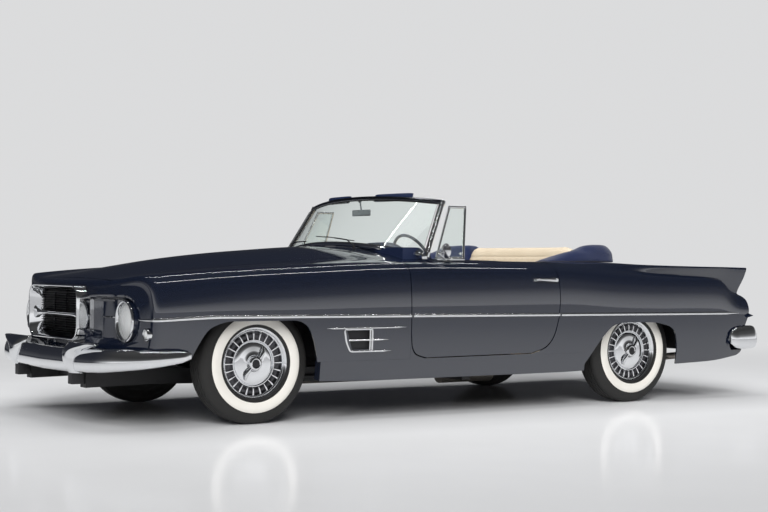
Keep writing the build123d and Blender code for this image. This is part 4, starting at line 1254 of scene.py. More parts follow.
def build_wheels():
    """The four tyres and wheels."""
    plain_tyre = tyre()
    plain_wheel = wheel()
    for end, y in (("front", 0), ("rear", WHEELBASE)):
        for side, name in ((1, "left"), (-1, "right")):
            for source, kind, paints in (
                (plain_tyre, "tyre", ["tyre_rubber", "white_rubber"]),
                (plain_wheel, "wheel", ["chrome", "satin_black", "cast_iron", "shade_darkened_plating"]),
            ):
                one = source.copy() if side == 1 else mirrored(source)
                moved(one, at(side * WHEEL_X, y, WHEEL_R))
                node = f"{kind}_{end}_{name}"
                slot = "tyre" if kind == "tyre" else "wheel_chrome"
                made(f"{node}_dressed", one, f"wheel_{end}_{name}", paints, [node], 35.0)
    plain_tyre.free()
    plain_wheel.free()


# Front end and lamps


def grille_ring(inset, y):
    """The grille's outline, drawn in by an inset, at one place along the car."""
    half, low, top = GRILLE_X - inset, GRILLE_LOW + inset, GRILLE_TOP - inset
    outline = round_box(-half, half, low, top, GRILLE_ROUND - 0.6 * inset, 10)
    return [at(x, y, z) for x, z in outline]


GRILLE_FORM = [
    (0, -790), (0, -885), (0, -896), (1.5, -901), (4.5, -904.5), (8, -905), (11.5, -903), (14, -898),
    (17, -888), (22, -872), (29, -850), (37, -820), (41, -798), (41, -790),
]


def grille_shell():
    """The deep plated mouth, and the bar across it that flares at its ends."""
    mouth = closed_tube([grille_ring(inset, y) for inset, y in GRILLE_FORM])
    bar_rows = []
    for k in range(49):
        x = -361 + 722 * k / 48
        flare = max(abs(x) - 235, 0) / 126
        half = 11 + 27 * flare ** 2.2
        front = -884 + 5 * flare
        form = [(-846, 1), (-862, 1), (-873, 0.92), (-880, 0.68), (-883.5, 0.36), (-884, 0)]
        form += [(y, -h) for y, h in reversed(form[:-1])]
        bar_rows.append([at(x, max(y, front) if y < -870 else y, GRILLE_BAR_Z + half * h) for y, h in form])
    return joined([mouth, lofted(bar_rows)])


def grille_back():
    """Fine bars on edge in darkened plating, with uprights, and a black sheet behind them as painted shade.
    """
    parts = []
    for k in range(17):
        z = 527 + 14 * k
        if abs(z - GRILLE_BAR_Z) < 6:
            continue
        edge = min(z - GRILLE_LOW - 39, GRILLE_TOP - 39 - z, 54)
        half = GRILLE_X - 39 - (54 - math.sqrt(max(54 ** 2 - (54 - edge) ** 2, 0))) * 0.8
        form = [(-836, 0), (-833, 2), (-818, 2), (-818, -2), (-833, -2)]
        row = lofted([[at(x, y, z + h) for y, h in form] for x in (-half, half)])
        parts.append(tinted(row, 0))
    for x in (-180, 0, 180):
        parts.append(tinted(block(x - 3, x + 3, -819, -811, 524, 756, 0.8), 0))
    # A black sheet behind the bars stands in for the shade inside the mouth: painted shade.
    painted_shade_sheet = lofted([grille_ring(42, -812), grille_ring(42, -809)])
    parts.append(tinted(painted_shade_sheet, 1))
    return joined(parts)


BEZEL = [
    (-50, 97), (-56, 98), (-63, 102), (-67, 107), (-68, 112), (-66, 117), (-60, 120), (-54, 119), (-50, 114),
    (-40, 111), (90, 111), (90, 106), (-40, 104), (-46, 100), (-50, 97),
]
LENS = [(-46, 99), (-50, 88), (-55, 70), (-60, 48), (-63, 26), (-64, 0)]
BOWL = [(-44, 101), (-36, 98), (-16, 84), (4, 62), (16, 36), (20, 14), (20, 0)]


def pan(profile, depth, centre, steps):
    """A turned shell of one depth, closed at its back, from a profile that ends on the axis."""
    back = [(a + depth, r) for a, r in reversed(profile)]
    return spun(profile + back + [profile[0]], centre, "y", steps)


def headlamp(side):
    """One lamp's bezel, fluted lens and bowl, in a dark ring."""
    centre = at(side * HEADLAMP[0], LAMP_Y, HEADLAMP[2])
    gasket = [(-50, 111), (-50, 117), (60, 117), (60, 111), (-50, 111)]
    return [
        tinted(spun(BEZEL, centre, "y", 72), 0),
        tinted(pan(LENS, 5, centre, 72), 1),
        tinted(pan(BOWL, 3, centre, 48), 4),
        tinted(spun([(-20, 0), (-19, 9), (-12, 14), (18, 14), (18, 0)], centre, "y", 24), 1),
        tinted(spun(gasket, centre, "y", 48), 5),
    ]


def parking_lamp(side):
    """One small lamp under the headlamp."""
    centre = at(side * PARKING[0], PARKING[1], PARKING[2])
    bezel = [
        (-12, 26), (-18, 27), (-22, 30), (-21, 34), (-15, 37), (-8, 36), (50, 36), (50, 31), (-8, 27),
        (-12, 26),
    ]
    lens = [(-12, 27), (-19, 22), (-25, 12), (-27, 0)]
    bowl = [(-10, 28), (4, 20), (10, 0)]
    return [
        tinted(spun(bezel, centre, "y", 48), 0),
        tinted(pan(lens, 3, centre, 40), 1),
        tinted(pan(bowl, 2, centre, 32), 4),
    ]


def nose_strip(side):
    """The thin bright strip from the lamp towards the grille."""
    rows = []
    for k in range(13):
        x = 470 + 116 * k / 12
        half = 4.5 * min(1.0, 0.25 + k / 4)
        y = nose_y(x) + recess(x, 622)
        form = [(4, 1), (-5, 0.8), (-8, 0), (-5, -0.8), (4, -1)]
        rows.append([at(side * x, y + d, 622 + half * h) for d, h in form])
    return lofted(rows)


def tail_lamp(side):
    """One round tail lamp in its bright ring."""
    centre = at(side * TAIL_LAMP[0], TAIL_LAMP[1], TAIL_LAMP[2])
    ring = [(-78, 44), (30, 44), (40, 44), (45, 41), (44, 37), (38, 36), (-78, 36), (-78, 44)]
    lens = [(56, 0), (55, 10), (52, 20), (47, 29), (40, 36), (-60, 36), (-60, 0)]
    return [tinted(spun(ring, centre, "y", 48), 0), tinted(spun(lens, centre, "y", 48), 3)]


def build_front():
    """The grille and all lamps."""
    made("grille_shell", grille_shell(), "root", "chrome", ["grille_surround"], 40.0)
    # The grille's bars in the darker plating, and the black sheet behind them, are painted shade.
    paints = ["shade_darkened_plating", "satin_black"]
    made("grille_bars", grille_back(), "root", paints, ["grille_slats"], 40.0)
    paints = ["chrome", "lamp_glass", "rubber_seal", "red_lens", "lamp_bowl", "body_paint"]
    for kind, lamp, smooth, slot in (
        ("headlamp", headlamp, 50.0, "lamp_glass"),
        ("parking_lamp", parking_lamp, 50.0, "lamp_glass"),
        ("tail_lamp", tail_lamp, 40.0, "red_lens"),
    ):
        made(f"{kind}_pair", joined(lamp(1) + lamp(-1)), "root", paints, [f"{kind}s"], smooth)
    made("nose_strips", joined([nose_strip(1), nose_strip(-1)]), "root", "chrome")


# Bumpers


FRONT_BAR = [
    (0, -985, 306, 440, 46), (400, -975, 308, 446, 46), (700, -940, 318, 451, 46), (880, -855, 334, 453, 44),
    (968, -730, 348, 452, 42), (1000, -600, 366, 449, 36), (1003.5, -470, 387, 444, 28),
]
REAR_BAR = [
    (0, 4169, 398, 486, 44), (500, 4155, 394, 490, 44), (800, 4124, 380, 500, 46), (930, 4070, 356, 508, 48),
    (992, 3990, 348, 510, 48), (1002, 3880, 347, 512, 46), (1002, 3760, 362, 484, 26),
]
BAR_FORM = [
    (1, 0.10), (0.75, 0.015), (0.5, 0), (0.25, 0.05), (0.1, 0.14), (0.03, 0.25), (0, 0.38), (0.02, 0.5),
    (0.08, 0.62), (0.2, 0.76), (0.35, 0.87), (0.5, 0.94), (0.75, 0.985), (1, 1),
]
BOLT = (915, -803, 366)
BOLT_WAY = (0.75, -0.66, 0.0)
BAR_END = (0.0, 0.35, 0.62, 0.82, 0.94, 1.0)
GUARD = [
    (306, 388, 518, -968, -915), (345, 376, 510, -992, -915), (392, 362, 508, -1000, -915),
    (428, 346, 548, -998, -910), (454, 333, 640, -988, -906), (474, 324, 718, -970, -904),
]


def bumper_bar(table):
    """A whole bumper's bar, round at its ends, open to the car."""
    half = smooth_path(table, 10)
    path = [(-x, y, low, top, deep) for x, y, low, top, deep in reversed(half[1:])] + half
    rows = []
    for k, (x, y, low, top, deep) in enumerate(path):
        before, after = path[max(k - 1, 0)], path[min(k + 1, len(path) - 1)]
        way = Vector((after[0] - before[0], after[1] - before[1])).normalized()
        inward = Vector((-way.y, way.x))
        if inward.dot(Vector((-x, 1400 - y))) < 0:
            inward = -inward
        edge = min(k, len(path) - 1 - k)
        full = BAR_END[edge] if edge < len(BAR_END) else 1.0
        full = max(full, 0.12)
        middle = (low + top) / 2
        row = []
        for a, b in BAR_FORM:
            z = middle + (low + (top - low) * b - middle) * (0.55 + 0.45 * full)
            spread = deep * (1 - (1 - a) * full)
            row.append(at(x + inward.x * spread, y + inward.y * spread, z))
        rows.append(row)
    bm = bmesh.new()
    bridge_rows(bm, rows)
    face_out(bm, at(0, 1400, 420))
    return thick(bm, 4)


def guard(side):
    """One overrider, narrow at its foot and flared at its top."""
    rows = []
    levels = smooth_path(GUARD, 5)
    for z, x0, x1, front, rear in levels:
        row = []
        for k in range(17):
            t = k / 16
            x = x0 + (x1 - x0) * t
            crown = 1 - abs(2 * t - 1) ** 3.0
            row.append(at(side * x, rear + (front - rear) * (0.35 + 0.65 * crown), z))
        row += [at(side * x1, rear, z), at(side * (x0 + x1) / 2, rear, z), at(side * x0, rear, z)]
        rows.append(row)
    top = rows[-1]
    middle = sum(top, Vector()) / len(top)
    for share, lift in ((0.97, 3), (0.90, 5)):
        rows.append([middle + (p - middle) * share + Vector((0, 0, lift * MM)) for p in top])
    return lofted(rows)


def build_bumpers():
    """Both bumpers with their overriders, bolts and irons."""
    front = [tinted(bumper_bar(FRONT_BAR), 0)]
    rear = [tinted(bumper_bar(REAR_BAR), 0)]
    for side in (1, -1):
        front.append(tinted(guard(side), 0))
        bolt = spun([(-6, 0), (-5.5, 7), (-3, 12), (1, 14.5), (8, 15)], (0, 0, 0), "y", 32)
        way = Vector((side * BOLT_WAY[0], *BOLT_WAY[1:]))
        turned(bolt, Vector((0, -1, 0)).rotation_difference(way).to_matrix())
        front.append(tinted(moved(bolt, at(side * BOLT[0], BOLT[1], BOLT[2])), 0))
        front.append(tinted(block(side * 400, side * 460, -960, -880.3, 240, 345, 4), 1))
        front.append(tinted(block(side * 400, side * 460, -948, -900, 300, 436, 4), 1))
        rear.append(tinted(block(side * 380, side * 470, 4100, 4162, 396, 488, 4), 1))
        rear.append(tinted(block(side * 410, side * 460, 3810.3, 4150, 400, 450, 4), 1))
    for node, parts in (("front_bumper", front), ("rear_bumper", rear)):
        made(f"{node}_plated", joined(parts), "root", ["chrome", "satin_black"], [node], 45.0)


# Windscreen, brightwork and mirrors


SCREEN_FOOT = [(-878, 1190, 984), (0, 1000, 1061.5), (878, 1190, 984)]
SCREEN_HEAD = [(-787, 1373, 1326), (0, 1250, 1367), (787, 1373, 1326)]
QUARTER_LIGHT = [(866, 1270, 974), (866, 1478, 974), (803, 1537, 1296), (803, 1415, 1296)]
STRIP_FORM = [
    (-5, 1.0), (3, 1.0), (6.5, 0.75), (8.6, 0.25), (8.6, -0.25), (6.5, -0.75), (3, -1.0), (-5, -1.0),
]
CORNER_POINTS = 17
STRIP = [(1012, 2166), (2178, 3850)]
DOOR_MIRROR = [(905, 1327, 955), (925, 1245, 1000), (930, 1290, 1016)]
HANDLE = (1960, 2140, 838)


def arc_through(a, b, c, steps):
    """Points on the circle through three points, from the first to the last."""
    a, b, c = Vector(a), Vector(b), Vector(c)
    normal = (b - a).cross(c - a).normalized()
    u = (b - a).normalized()
    v = normal.cross(u)
    bx = (b - a).length
    cx, cy = (c - a).dot(u), (c - a).dot(v)
    y = (cx * cx + cy * cy - bx * cx) / (2 * cy)
    middle = a + u * (bx / 2) + v * y
    start = a - middle
    end = c - middle
    turn = start.angle(end)
    axis = start.cross(end).normalized()
    if (b - middle).angle(start) > turn:
        turn = math.tau - turn
        axis = -axis
    return [middle + Matrix.Rotation(turn * k / steps, 3, axis) @ start for k in range(steps + 1)]


def metres(points):
    """Points of the tables in metres."""
    return [at(*p) for p in points]


SQUARENESS = 2.6


def flat_tube(points, wide, deep, face, steps=12):
    """A bar of flattened section along points, its width square to a facing direction."""
    rows = []
    for k, p in enumerate(points):
        way = heading(points, k)
        out = (face[k] if isinstance(face, list) else face).normalized()
        out = (out - way * out.dot(way)).normalized()
        across = way.cross(out)
        w = wide[k] if isinstance(wide, list) else wide
        d = deep[k] if isinstance(deep, list) else deep
        row = []
        for s in range(steps):
            angle = math.tau * (s + 0.5) / steps
            u, v = math.cos(angle), math.sin(angle)
            u = math.copysign(abs(u) ** (2 / SQUARENESS), u)
            v = math.copysign(abs(v) ** (2 / SQUARENESS), v)
            row.append(p + (across * u * w + out * v * d) * MM)
        rows.append(row)
    return lofted(rows)


def screen_face(p, lift):
    """The way that the bowed windscreen faces at a point of its frame."""
    return Vector((p.x * 0.7, -1, lift))


def build_windscreen():
    """The windscreen's frame, seal and glass, with the wipers at its foot."""
    foot = metres(arc_through(*SCREEN_FOOT, 48))
    head = metres(arc_through(*SCREEN_HEAD, 48))
    ahead = Vector((0, -1, 0.35))
    frame_parts = [
        tinted(flat_tube(foot, 13, 11, [screen_face(p, 0.6) for p in foot]), 0),
        # The header is in the darker plating as painted shade; the foot and the posts stay bright.
        tinted(flat_tube(head, 15, 13, [screen_face(p, 0.35) for p in head]), 1),
    ]
    for side in (1, -1):
        low, high = at(side * 878, 1190, 984), at(side * 787, 1373, 1326)
        post = [low + (high - low) * k / 12 for k in range(13)]
        frame_parts.append(tinted(flat_tube(post, 13, 17, Vector((side, -0.6, 0.2))), 0))
        rib = [p + Vector((side * 0.008, -0.016, 0.004)) for p in post[1:12]]
        frame_parts.append(tinted(flat_tube(rib, 4, 3, Vector((side, -0.6, 0.2)), 8), 0))
        pad = block(side * 850, side * 886, 1150, 1190, 961, 990, 5)
        frame_parts.append(tinted(pad, 0))
        joint = [low + Vector((0, -0.004, -0.006)), low + Vector((0, 0.006, 0.022))]
        frame_parts.append(tinted(flat_tube(joint, 18, 18, ahead), 0))
        corner = flat_tube([high + (low - high) * 0.05, high + Vector((0, 0.002, 0.006))], 17, 19, ahead)
        frame_parts.append(tinted(corner, 0))
    rubber = []
    for row, pull in ((foot, 1), (head, -1)):
        line = [p + (head[k] - foot[k]).normalized() * pull * 0.0145 for k, p in enumerate(row)]
        line = line[1:-1]
        rubber.append(tinted(flat_tube(line, 6, 5, [screen_face(p, 0.4) for p in line], 8), 2))
    for side in (0, -1):
        low, high = foot[side], head[side]
        inward = (foot[1 if side == 0 else -2] - foot[side]).normalized()
        line = [low + (high - low) * (0.03 + 0.94 * k / 10) + inward * 0.016 for k in range(11)]
        rubber.append(tinted(flat_tube(line, 5, 6, Vector((0, -1, 0.3)), 8), 2))
    paints = ["chrome", "shaded_header_plating", "rubber_seal"]
    surround = joined(frame_parts + rubber)
    made("windscreen_surround", surround, "root", paints, ["windscreen_frame"], 40.0)
    rows = []
    for k in range(1, 48):
        low, high = foot[k], head[k]
        way = (high - low).normalized()
        start, end = low + way * 0.012, high - way * 0.012
        rows.append([start + (end - start) * s / 12 + Vector((0, -0.002, 0)) for s in range(13)])
    bm = bmesh.new()
    bridge_rows(bm, rows)
    face_out(bm, at(0, 2500, 1100))
    pane = thick(bm, 5)
    made("windscreen_pane", pane, "root", "clear_glass", ["windscreen_glass"], 40.0)
    build_wipers(foot, head)


def build_wipers(foot, head):
    """Two wipers at the windscreen's foot, lying against the glass."""
    wipers = []
    for x0, x1 in ((330, -190), (-250, -740)):
        low_foot = min(foot, key=lambda p: abs(p.x - x0 * MM))
        base = low_foot + Vector((0, -0.032, -0.012))
        pivot = [base + Vector((0, 0, -0.022)), base + Vector((0, 0, 0.012))]
        wipers.append(tinted(tube(pivot, [11, 9], 16), 0))
        spots = []
        for k in range(13):
            x = x0 + (x1 - x0) * k / 12
            near = min(range(len(foot)), key=lambda n: abs(foot[n].x - x * MM))
            way = (head[near] - foot[near]).normalized()
            rise = 0.020 + 0.040 * k / 12
            out = screen_face(foot[near], 0.6).normalized()
            spots.append(foot[near] + way * rise + out * 0.020)
        arm = [base + Vector((0, -0.002, 0.010))] + spots[2:7]
        wipers.append(tinted(flat_tube(arm, 4.5, 2.5, Vector((0, -1, 0.6)), 8), 0))
        wipers.append(tinted(flat_tube(spots[1:], 2.2, 5, Vector((0, -1, 0.6)), 8), 1))
    made("wipers", joined(wipers), "root", ["satin_black", "rubber_seal"])


def strip_z(y):
    """The side strip's height, which drops a little towards the lamps."""
    return 620 - 19 * (y - 1003) / 2800 - 22 * min(max((-300 - y) / 450, 0.0), 1.1) ** 1.1


def corner_strip():
    """The strip's front length, which turns round the fender's corner to the lamp."""
    plan = [(x, nose_y(x)) for x in (836, 846, 860, 880, 898)]
    for row in HULL[:12]:
        x, y, _ = min(row[:40], key=lambda p: abs(p[2] - strip_z(p[1])))
        plan.append((x, y))
    last = plan[-1][1]
    plan += [(side_at(y, strip_z(y)), y) for y in range(int(last) + 60, 996, 60)]
    plan.append((side_at(996, strip_z(996)), 996))
    rows = []
    length = 0.0
    for k, (x, y) in enumerate(plan):
        if k:
            length += math.dist(plan[k - 1], plan[k])
        before, after = Vector(plan[max(k - 1, 0)]), Vector(plan[min(k + 1, len(plan) - 1)])
        way = (after - before).normalized()
        out = Vector((way.y, -way.x))
        half = user_size("strip_width") / 2 * min(1.0, 0.45 + length / 200)
        row = []
        for d, h in STRIP_FORM:
            level = strip_z(y) + h * half
            foot = x if k < CORNER_POINTS else side_at(y, level)
            row.append(at(foot + out.x * d, y + out.y * d, level))
        rows.append(row)
    return lofted(rows)


def strip_bar(y0, y1, tip_rear):
    """One length of the side strip, lying on the body, with its rear end a tip where asked."""
    rows = []
    count = max(int((y1 - y0) / 60), 6)
    for k in range(count + 1):
        y = y0 + (y1 - y0) * k / count
        z = strip_z(y)
        half = user_size("strip_width") / 2
        if tip_rear:
            half *= min(1.0, 0.30 + (y1 - y) / 160)
        rows.append([at(side_at(y, z + h * half) + d, y, z + h * half) for d, h in STRIP_FORM])
    return lofted(rows)


def side_bar(y0, y1, z, half, tip_front):
    """A thin bright bar along the side at one height, its rear end a tip."""
    rows = []
    for k in range(25):
        y = y0 + (y1 - y0) * k / 24
        size = half
        if tip_front:
            size *= min(1.0, 0.25 + (y - y0) / 50)
        size *= min(1.0, 0.25 + (y1 - y) / 70)
        form = [(-4, 1.0), (3.3, 1.0), (5.5, 0.4), (5.5, -0.4), (3.3, -1.0), (-4, -1.0)]
        rows.append([at(side_at(y, z + h * size) + d, y, z + h * size) for d, h in form])
    return lofted(rows)


def vent_frame():
    """The fender vent: its bright frame, its bars, and a black block behind as painted shade for the pocket.
    """
    outline = [(520, 546), (716, 546), (716, 414), (562, 414), (534, 470)]
    parts = []
    line = []
    for y, z in smooth_corner(outline, 16):
        line.append(at(side_at(y, z) + 1.5, y, z))
    ring = []
    for k, p in enumerate(line):
        way = (line[(k + 1) % len(line)] - line[k - 1]).normalized()
        across = way.cross(OUT).normalized()
        form = [(6, -5), (6, 2), (3, 4.5), (-3, 4.5), (-6, 2), (-6, -5)]
        ring.append([p + (across * u + OUT * v) * MM for u, v in form])
    parts.append(tinted(closed_tube(ring), 0))
    parts.append(tinted(side_bar(396, 955, 552, 4.5, True), 0))
    parts.append(tinted(side_bar(552, 830, 480, 4.5, False), 0))
    parts.append(tinted(side_bar(572, 850, 412, 4.5, False), 0))
    post = [at(side_at(VENT_POST, z) + 2, VENT_POST, z) for z in (418, 450, 480, 510, 542)]
    parts.append(tinted(flat_tube(post, 5, 4, OUT, 8), 0))
    # A black block behind the vent stands in for the shade in its pocket: painted shade.
    parts.append(tinted(block(915, 972, 530, 712, 408, 552, 3), 1))
    return joined(parts)


def smooth_corner(outline, r, steps=5):
    """A closed outline with its corners rounded."""
    points = []
    count = len(outline)
    for k in range(count):
        before, spot, after = (Vector(outline[(k + d) % count]) for d in (-1, 0, 1))
        a, b = (before - spot), (after - spot)
        size = min(r, a.length * 0.45, b.length * 0.45)
        start, end = spot + a.normalized() * size, spot + b.normalized() * size
        for s in range(steps + 1):
            t = s / steps
            points.append(tuple(start * (1 - t) ** 2 + spot * 2 * t * (1 - t) + end * t ** 2))
    return points


def door_bright(side):
    """The door's strip, handle and quarter light frame, and on the left the mirror."""
    parts = [strip_bar(*STRIP[0], False)]
    corners = metres(QUARTER_LIGHT)
    outward = Vector((1, 0, 0.2))
    for start, end, wide in zip(corners, corners[1:] + corners[:1], (7, 9, 7, 7)):
        parts.append(flat_tube([start + (end - start) * k / 6 for k in range(7)], wide, 7, outward, 12))
        reach = (end - start).normalized() * 0.004
        parts.append(flat_tube([start - reach, start + reach], 9, 8, outward, 12))
    parts.append(block(846, 886, 1262, 1478, 955.3, 972, 5))
    parts.append(spun([(-6, 0), (-6, 9), (-2, 10), (2, 9), (3, 0)], at(858, 1462, 1000), "x", 20))
    y0, y1, z = HANDLE
    x_hand = 1003
    rail = []
    for k in range(15):
        t = k / 14
        rail.append(at(x_hand + 2 * math.sin(math.pi * t), y0 + (y1 - y0) * t, z + 3 - 6 * t))
    wide = [6 + 5.5 * (k / 14) ** 0.7 for k in range(15)]
    parts.append(flat_tube(rail, wide, 6.5, OUT, 14))
    for y, r in ((y0 + 12, 7), (y1 - 12, 11)):
        foot = [at(side_at(y, z) - 3, y, z), at(x_hand + 1, y, z)]
        parts.append(flat_tube(foot, r * 1.2, r, UP, 14))
        plate = [(-4, 0), (-4, r + 5), (0, r + 4.5), (2, r + 2), (2, 0)]
        parts.append(spun(plate, at(side_at(y, z), y, z), "x", 28))
    button = [(-8, 0), (-8, 12), (6, 12), (8, 10), (8.8, 0)]
    parts.append(spun(button, at(x_hand, y1 - 10, z - 1), "x", 28))
    if side == 1:
        foot, elbow, head = metres(DOOR_MIRROR)
        base = [foot + Vector((0, 0, lift)) for lift in (-0.004, 0.003, 0.008)]
        parts.append(flat_tube(base, [17, 16, 11], [27, 26, 17], BACK, 20))
        rise = elbow - foot
        path = [foot + Vector((0, 0, 0.004)), foot + rise * 0.35, foot + rise * 0.72, elbow]
        parts.append(tube(path, [8, 7, 6.5, 6], 14))
        path = [elbow + Vector((0, -0.003, -0.002)), elbow + (head - elbow) * 0.5, head]
        parts.append(tube(path, [6.5, 6, 7], 14))
        shell = [
            (-16, 0), (-15, 14), (-11, 27), (-4, 38), (4, 45), (9, 48), (13, 47), (13, 43), (9, 42),
            (9, 0),
        ]
        parts.append(spun(shell, head, "y", 48))
    return joined(parts)


def build_brightwork():
    """Side strips, vents, door chrome with the outer mirror, and quarter lights."""
    strips = [tinted(corner_strip(), 0), tinted(strip_bar(*STRIP[1], True), 0)]
    both = add_other_side(joined([*strips, vent_frame()]))
    made("side_brightwork", both, "root", ["trim_plating", "satin_black"], ["side_trims"], 40.0)
    for side, bright in (("left", door_bright(1)), ("right", mirrored(door_bright(-1)))):
        node = f"door_chrome_{side}"
        made(f"door_brightwork_{side}", bright, f"door_{side}", "trim_plating", [node], 40.0)
    pane = bmesh.new()
    corners = metres(QUARTER_LIGHT)
    middle = sum(corners, Vector()) / 4
    face = pane.faces.new([pane.verts.new(middle + (p - middle) * 0.955) for p in corners])
    face.normal_update()
    if face.normal.x < 0:
        bmesh.ops.reverse_faces(pane, faces=[face])
    thick(pane, 4)
    moved(pane, (0.002, 0, 0))
    for side, glass in (("left", pane.copy()), ("right", mirrored(pane))):
        node = f"quarter_light_{side}"
        made(f"quarter_pane_{side}", glass, f"door_{side}", "clear_glass", [node], 30.0)
    pane.free()


def build_cabin_mirror():
    """The inner mirror on its stem."""
    back = bevelled(block(-108, 108, 1262, 1276, 1251, 1293), 0.006, 4)
    parts = [tinted(back, 0), tinted(block(-101, 101, 1275, 1277, 1255, 1289, 0.8), 1)]
    stem = metres([(0, 1260, 1353), (0, 1262, 1330), (0, 1266, 1306), (0, 1268, 1290)])
    parts.append(tinted(tube(stem, [6, 5, 5, 6], 14), 0))
    foot = [stem[0] + Vector((0, -0.004, 0.003)), stem[0] + Vector((0, 0.002, -0.006))]
    parts.append(tinted(tube(foot, 13, 20), 0))
    # The mirror's back and stem take the header's darkened plating.
    paints = ["shaded_header_plating", "chrome"]
    made("cabin_mirror", joined(parts), "root", paints, ["inner_mirror"], 40.0)


def build_visors():
    """The sun visors with their rods."""
    visors = []
    for side in (1, -1):
        rows = []
        for k in range(17):
            x = 150 + 370 * k / 16
            line = min(arc_through(*SCREEN_HEAD, 60), key=lambda p: abs(p.x - x))
            squash = (1 - abs(2 * k / 16 - 1) ** 6) ** 0.5
            row = []
            for s in range(16):
                angle = math.tau * s / 16
                u = math.copysign(abs(math.cos(angle)) ** 0.6, math.cos(angle))
                v = math.sin(angle)
                z = 1366.5 + 27 * u * (0.86 + 0.14 * squash)
                y = line.y + 21 + (z - 1366.5) * 0.30 + 4.5 * v * (0.3 + 0.7 * squash)
                row.append(at(side * x, y, z))
            rows.append(row)
        visors.append(tinted(lofted(rows), 0))
        rod = metres([(side * 520, 1300, 1352), (side * 340, 1290, 1358), (side * 150, 1278, 1361)])
        visors.append(tinted(tube(rod, 4, 10), 1))
    made("visor_pair", joined(visors), "root", ["navy_hide", "chrome"], ["sun_visors"], 50.0)


# Cabin


def pad_form(rows):
    """A closed form through rows of (x, y, z) points in millimetres."""
    return lofted([metres(row) for row in rows])


def pillow(x0, x1, y0, y1, z0, z1, r):
    """A cushion's starting form: round corners, and sides drawn in towards its top and its foot."""
    rows = []
    cx, cy = (x0 + x1) / 2, (y0 + y1) / 2
    levels = [
        (z0, 0.93), (z0 + 12, 0.985), (z0 + (z1 - z0) * 0.5, 0.99),
        (z1 - 34, 1.0), (z1 - 12, 0.975), (z1, 0.90),
    ]
    for z, share in levels:
        half_x, half_y = (x1 - x0) / 2 * (1 - (1 - share) * 0.4), (y1 - y0) / 2 * share
        outline = round_box(cx - half_x, cx + half_x, cy - half_y, cy + half_y, r, 6)
        rows.append([(x, y, z) for x, y in outline])
    return pad_form(rows)


def padded_back(x_half, outline, r):
    """A backrest's starting form: its side outline (y, z) swept across, round at both ends."""
    rows = []
    middle_y = sum(p[0] for p in outline) / len(outline)
    low, top = min(p[1] for p in outline), max(p[1] for p in outline)
    for k in range(25):
        t = -1 + 2 * k / 24
        x = x_half * t
        end = max(abs(t) * x_half - (x_half - r), 0) / r
        size = math.sqrt(max(1 - end ** 2, 0.0))
        row = []
        for y, z in outline:
            drop = (1 - size) * r * 0.9 * ((z - low) / (top - low))
            row.append((x, middle_y + (y - middle_y) * (0.45 + 0.55 * size), z - drop))
        rows.append(row)
    return pad_form(rows)


CLOTH_STEPS = 20


def inflated(bm, voxel, pressure, cap, grow=0.0):
    """The form blown out as cloth, each point moved by no more than a cap."""
    draft = linked("draft", bm)
    remesh = draft.modifiers.new("even", "REMESH")
    remesh.mode = "VOXEL"
    remesh.voxel_size = voxel * MM
    settle(draft)
    before = [vert.co.copy() for vert in draft.data.vertices]
    cloth = draft.modifiers.new("cloth", "CLOTH")
    settings = cloth.settings
    settings.quality = 4
    settings.mass = 0.3
    settings.tension_stiffness = 15
    settings.compression_stiffness = 8
    settings.bending_stiffness = 0.6
    settings.use_pressure = True
    settings.uniform_pressure_force = pressure
    settings.shrink_min = -grow
    settings.effector_weights.gravity = 0.0
    cloth.collision_settings.use_collision = False
    scene = bpy.context.scene
    for step in range(1, CLOTH_STEPS + 1):
        scene.frame_set(step)
    settle(draft)
    scene.frame_set(1)
    for vert, start in zip(draft.data.vertices, before):
        move = vert.co - start
        if move.length > cap * MM:
            vert.co = start + move.normalized() * cap * MM
    result = unlinked(draft, draft.data)
    bmesh.ops.smooth_vert(
        result, verts=result.verts, factor=0.5, use_axis_x=True, use_axis_y=True, use_axis_z=True
    )
    return result


def pleated(bm, x_half, low, high, axis, depth=7.0):
    """Sewn channels along a pad, between two places on one axis, in millimetres."""
    pleat = user_size("pleat_width")
    for vert in bm.verts:
        x = vert.co.x / MM
        spot = vert.co[axis] / MM - (FRONT_AXLE if axis == 1 else 0)
        if abs(x) > x_half or not low < spot < high:
            continue
        fade = min((x_half - abs(x)) / 12, (spot - low) / 25, (high - spot) / 25, 1.0)
        wave = abs(math.sin(math.pi * x / pleat))
        vert.co -= vert.normal * depth * (1 - wave ** 0.45) * fade * MM
    return bm


def seam(bm, place, axis, depth=4.5, wide=7.0):
    """A sewn line round a pad where it crosses one plane."""
    for vert in bm.verts:
        spot = vert.co[axis] / MM - (FRONT_AXLE if axis == 1 else 0)
        near = abs(abs(spot) - place) if axis == 0 else abs(spot - place)
        if near < wide * 2:
            vert.co -= vert.normal * depth * math.exp(-((near / wide) ** 2)) * MM
    return bm


def rested(bm, axis, limit, above=True):
    """Lay flat what stands past a plane that a pad rests on."""
    edge = (limit + (FRONT_AXLE if axis == 1 else 0)) * MM
    for vert in bm.verts:
        if (vert.co[axis] < edge) == above:
            vert.co[axis] = edge
    return bm


FRONT_BACK = [
    (1996, 446), (1994, 520), (1998, 600), (2022, 740), (2046, 850), (2066, 868), (2100, 872), (2122, 862),
    (2126, 840), (2112, 640), (2094, 446),
]
REAR_BACK = [
    (2572, 434), (2570, 520), (2574, 620), (2586, 800), (2600, 970), (2608, 1035), (2622, 1062), (2642, 1072),
    (2662, 1064), (2674, 1040), (2672, 940), (2650, 700), (2634, 560), (2632, 434),
]


def upholstered(seat, cushion, back, split):
    """A seat's two soft pads, which meet at a place along the car."""
    for kind, pad in (("cushion", cushion), ("backrest", back)):
        rested(pad, 1, split, kind == "backrest")
        piece = made(f"{seat}_{kind}", pad, "root", "cream_leather", [f"{seat}_seat"], 80.0)


